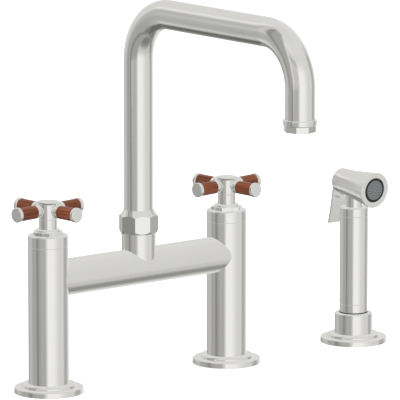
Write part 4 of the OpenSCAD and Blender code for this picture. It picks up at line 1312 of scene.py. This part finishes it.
class FAUCET_OT_stage(bpy.types.Operator):
    """Adds the pale floor, the soft light, the room and the camera"""

    bl_idname = "faucet.stage"
    bl_label = "Stage"

    def execute(self, context):
        scene = context.scene
        studio = scene.faucet_studio
        clear()
        bpy.ops.mesh.primitive_grid_add(
            x_subdivisions=FLOOR_CELLS, y_subdivisions=FLOOR_CELLS, size=studio.floor_size
        )
        floor = context.object
        floor.name = "floor"
        floor.visible_glossy = False
        material, wiring, surface, place = new_material("Studio floor")
        tint = scene.faucet_finishes.floor
        clouds = wiring.noise(place, 1.5, 2.0)
        tone = wiring.mix(clouds, shade(tint, 0.995), shade(tint, 1.005))
        wiring.link(tone, surface.inputs["Base Color"])
        surface.inputs["Roughness"].default_value = 0.9
        surface.inputs["Specular IOR Level"].default_value = 0.0
        floor.data.materials.append(material)

        bpy.ops.object.light_add(type="AREA", location=(0, LIGHT_Y, studio.light_height))
        light = context.object
        light.name = "overhead_light"
        light.data.size = studio.light_size
        light.data.energy = studio.light_power
        light.visible_glossy = False

        world = scene.world or bpy.data.worlds.new("Studio")
        scene.world = world
        studio_light(world, studio.ambient)

        rotation = (QUARTER - studio.pitch, 0, -studio.heading)
        bpy.ops.object.camera_add(location=CAMERA_PLACE, rotation=rotation)
        camera = context.object
        camera.name = "camera"
        camera.data.sensor_width = SENSOR_WIDTH
        camera.data.lens = studio.lens
        scene.camera = camera
        scene.view_settings.view_transform = "Standard"
        return {"FINISHED"}


GROUPS = {
    "faucet_body": FaucetBodySizes,
    "faucet_handles": FaucetHandleSizes,
    "faucet_spray": FaucetSpraySizes,
    "faucet_finishes": FaucetFinishes,
    "faucet_studio": FaucetStudio,
}
OPERATORS = (
    FAUCET_OT_finishes,
    FAUCET_OT_flanges,
    FAUCET_OT_columns,
    FAUCET_OT_bridge,
    FAUCET_OT_union_nut,
    FAUCET_OT_spout,
    FAUCET_OT_outlet,
    FAUCET_OT_bonnets,
    FAUCET_OT_handles,
    FAUCET_OT_grips,
    FAUCET_OT_spray_body,
    FAUCET_OT_spray_head,
    FAUCET_OT_spray_face,
    FAUCET_OT_spray_lever,
    FAUCET_OT_stage,
)


class FAUCET_PT_panel(bpy.types.Panel):
    """Lists the faucet's pieces and the stage"""

    bl_idname = "FAUCET_PT_panel"
    bl_label = "Bridge faucet"
    bl_space_type = "VIEW_3D"
    bl_region_type = "UI"
    bl_category = "Faucet"

    def draw(self, context):
        for operator in OPERATORS:
            self.layout.operator(operator.bl_idname)


def register():
    """Registers the sizes, the operators and the panel."""
    for name, group in GROUPS.items():
        bpy.utils.register_class(group)
        setattr(bpy.types.Scene, name, bpy.props.PointerProperty(type=group))
    for operator in OPERATORS:
        bpy.utils.register_class(operator)
    bpy.utils.register_class(FAUCET_PT_panel)


def unregister():
    """Takes back what register did."""
    bpy.utils.unregister_class(FAUCET_PT_panel)
    for operator in reversed(OPERATORS):
        bpy.utils.unregister_class(operator)
    for name, group in reversed(GROUPS.items()):
        delattr(bpy.types.Scene, name)
        bpy.utils.unregister_class(group)


def main():
    """Models the whole faucet."""
    register()
    for operator in OPERATORS:
        family, name = operator.bl_idname.split(".")
        getattr(getattr(bpy.ops, family), name)()


if __name__ == "__main__":
    main()
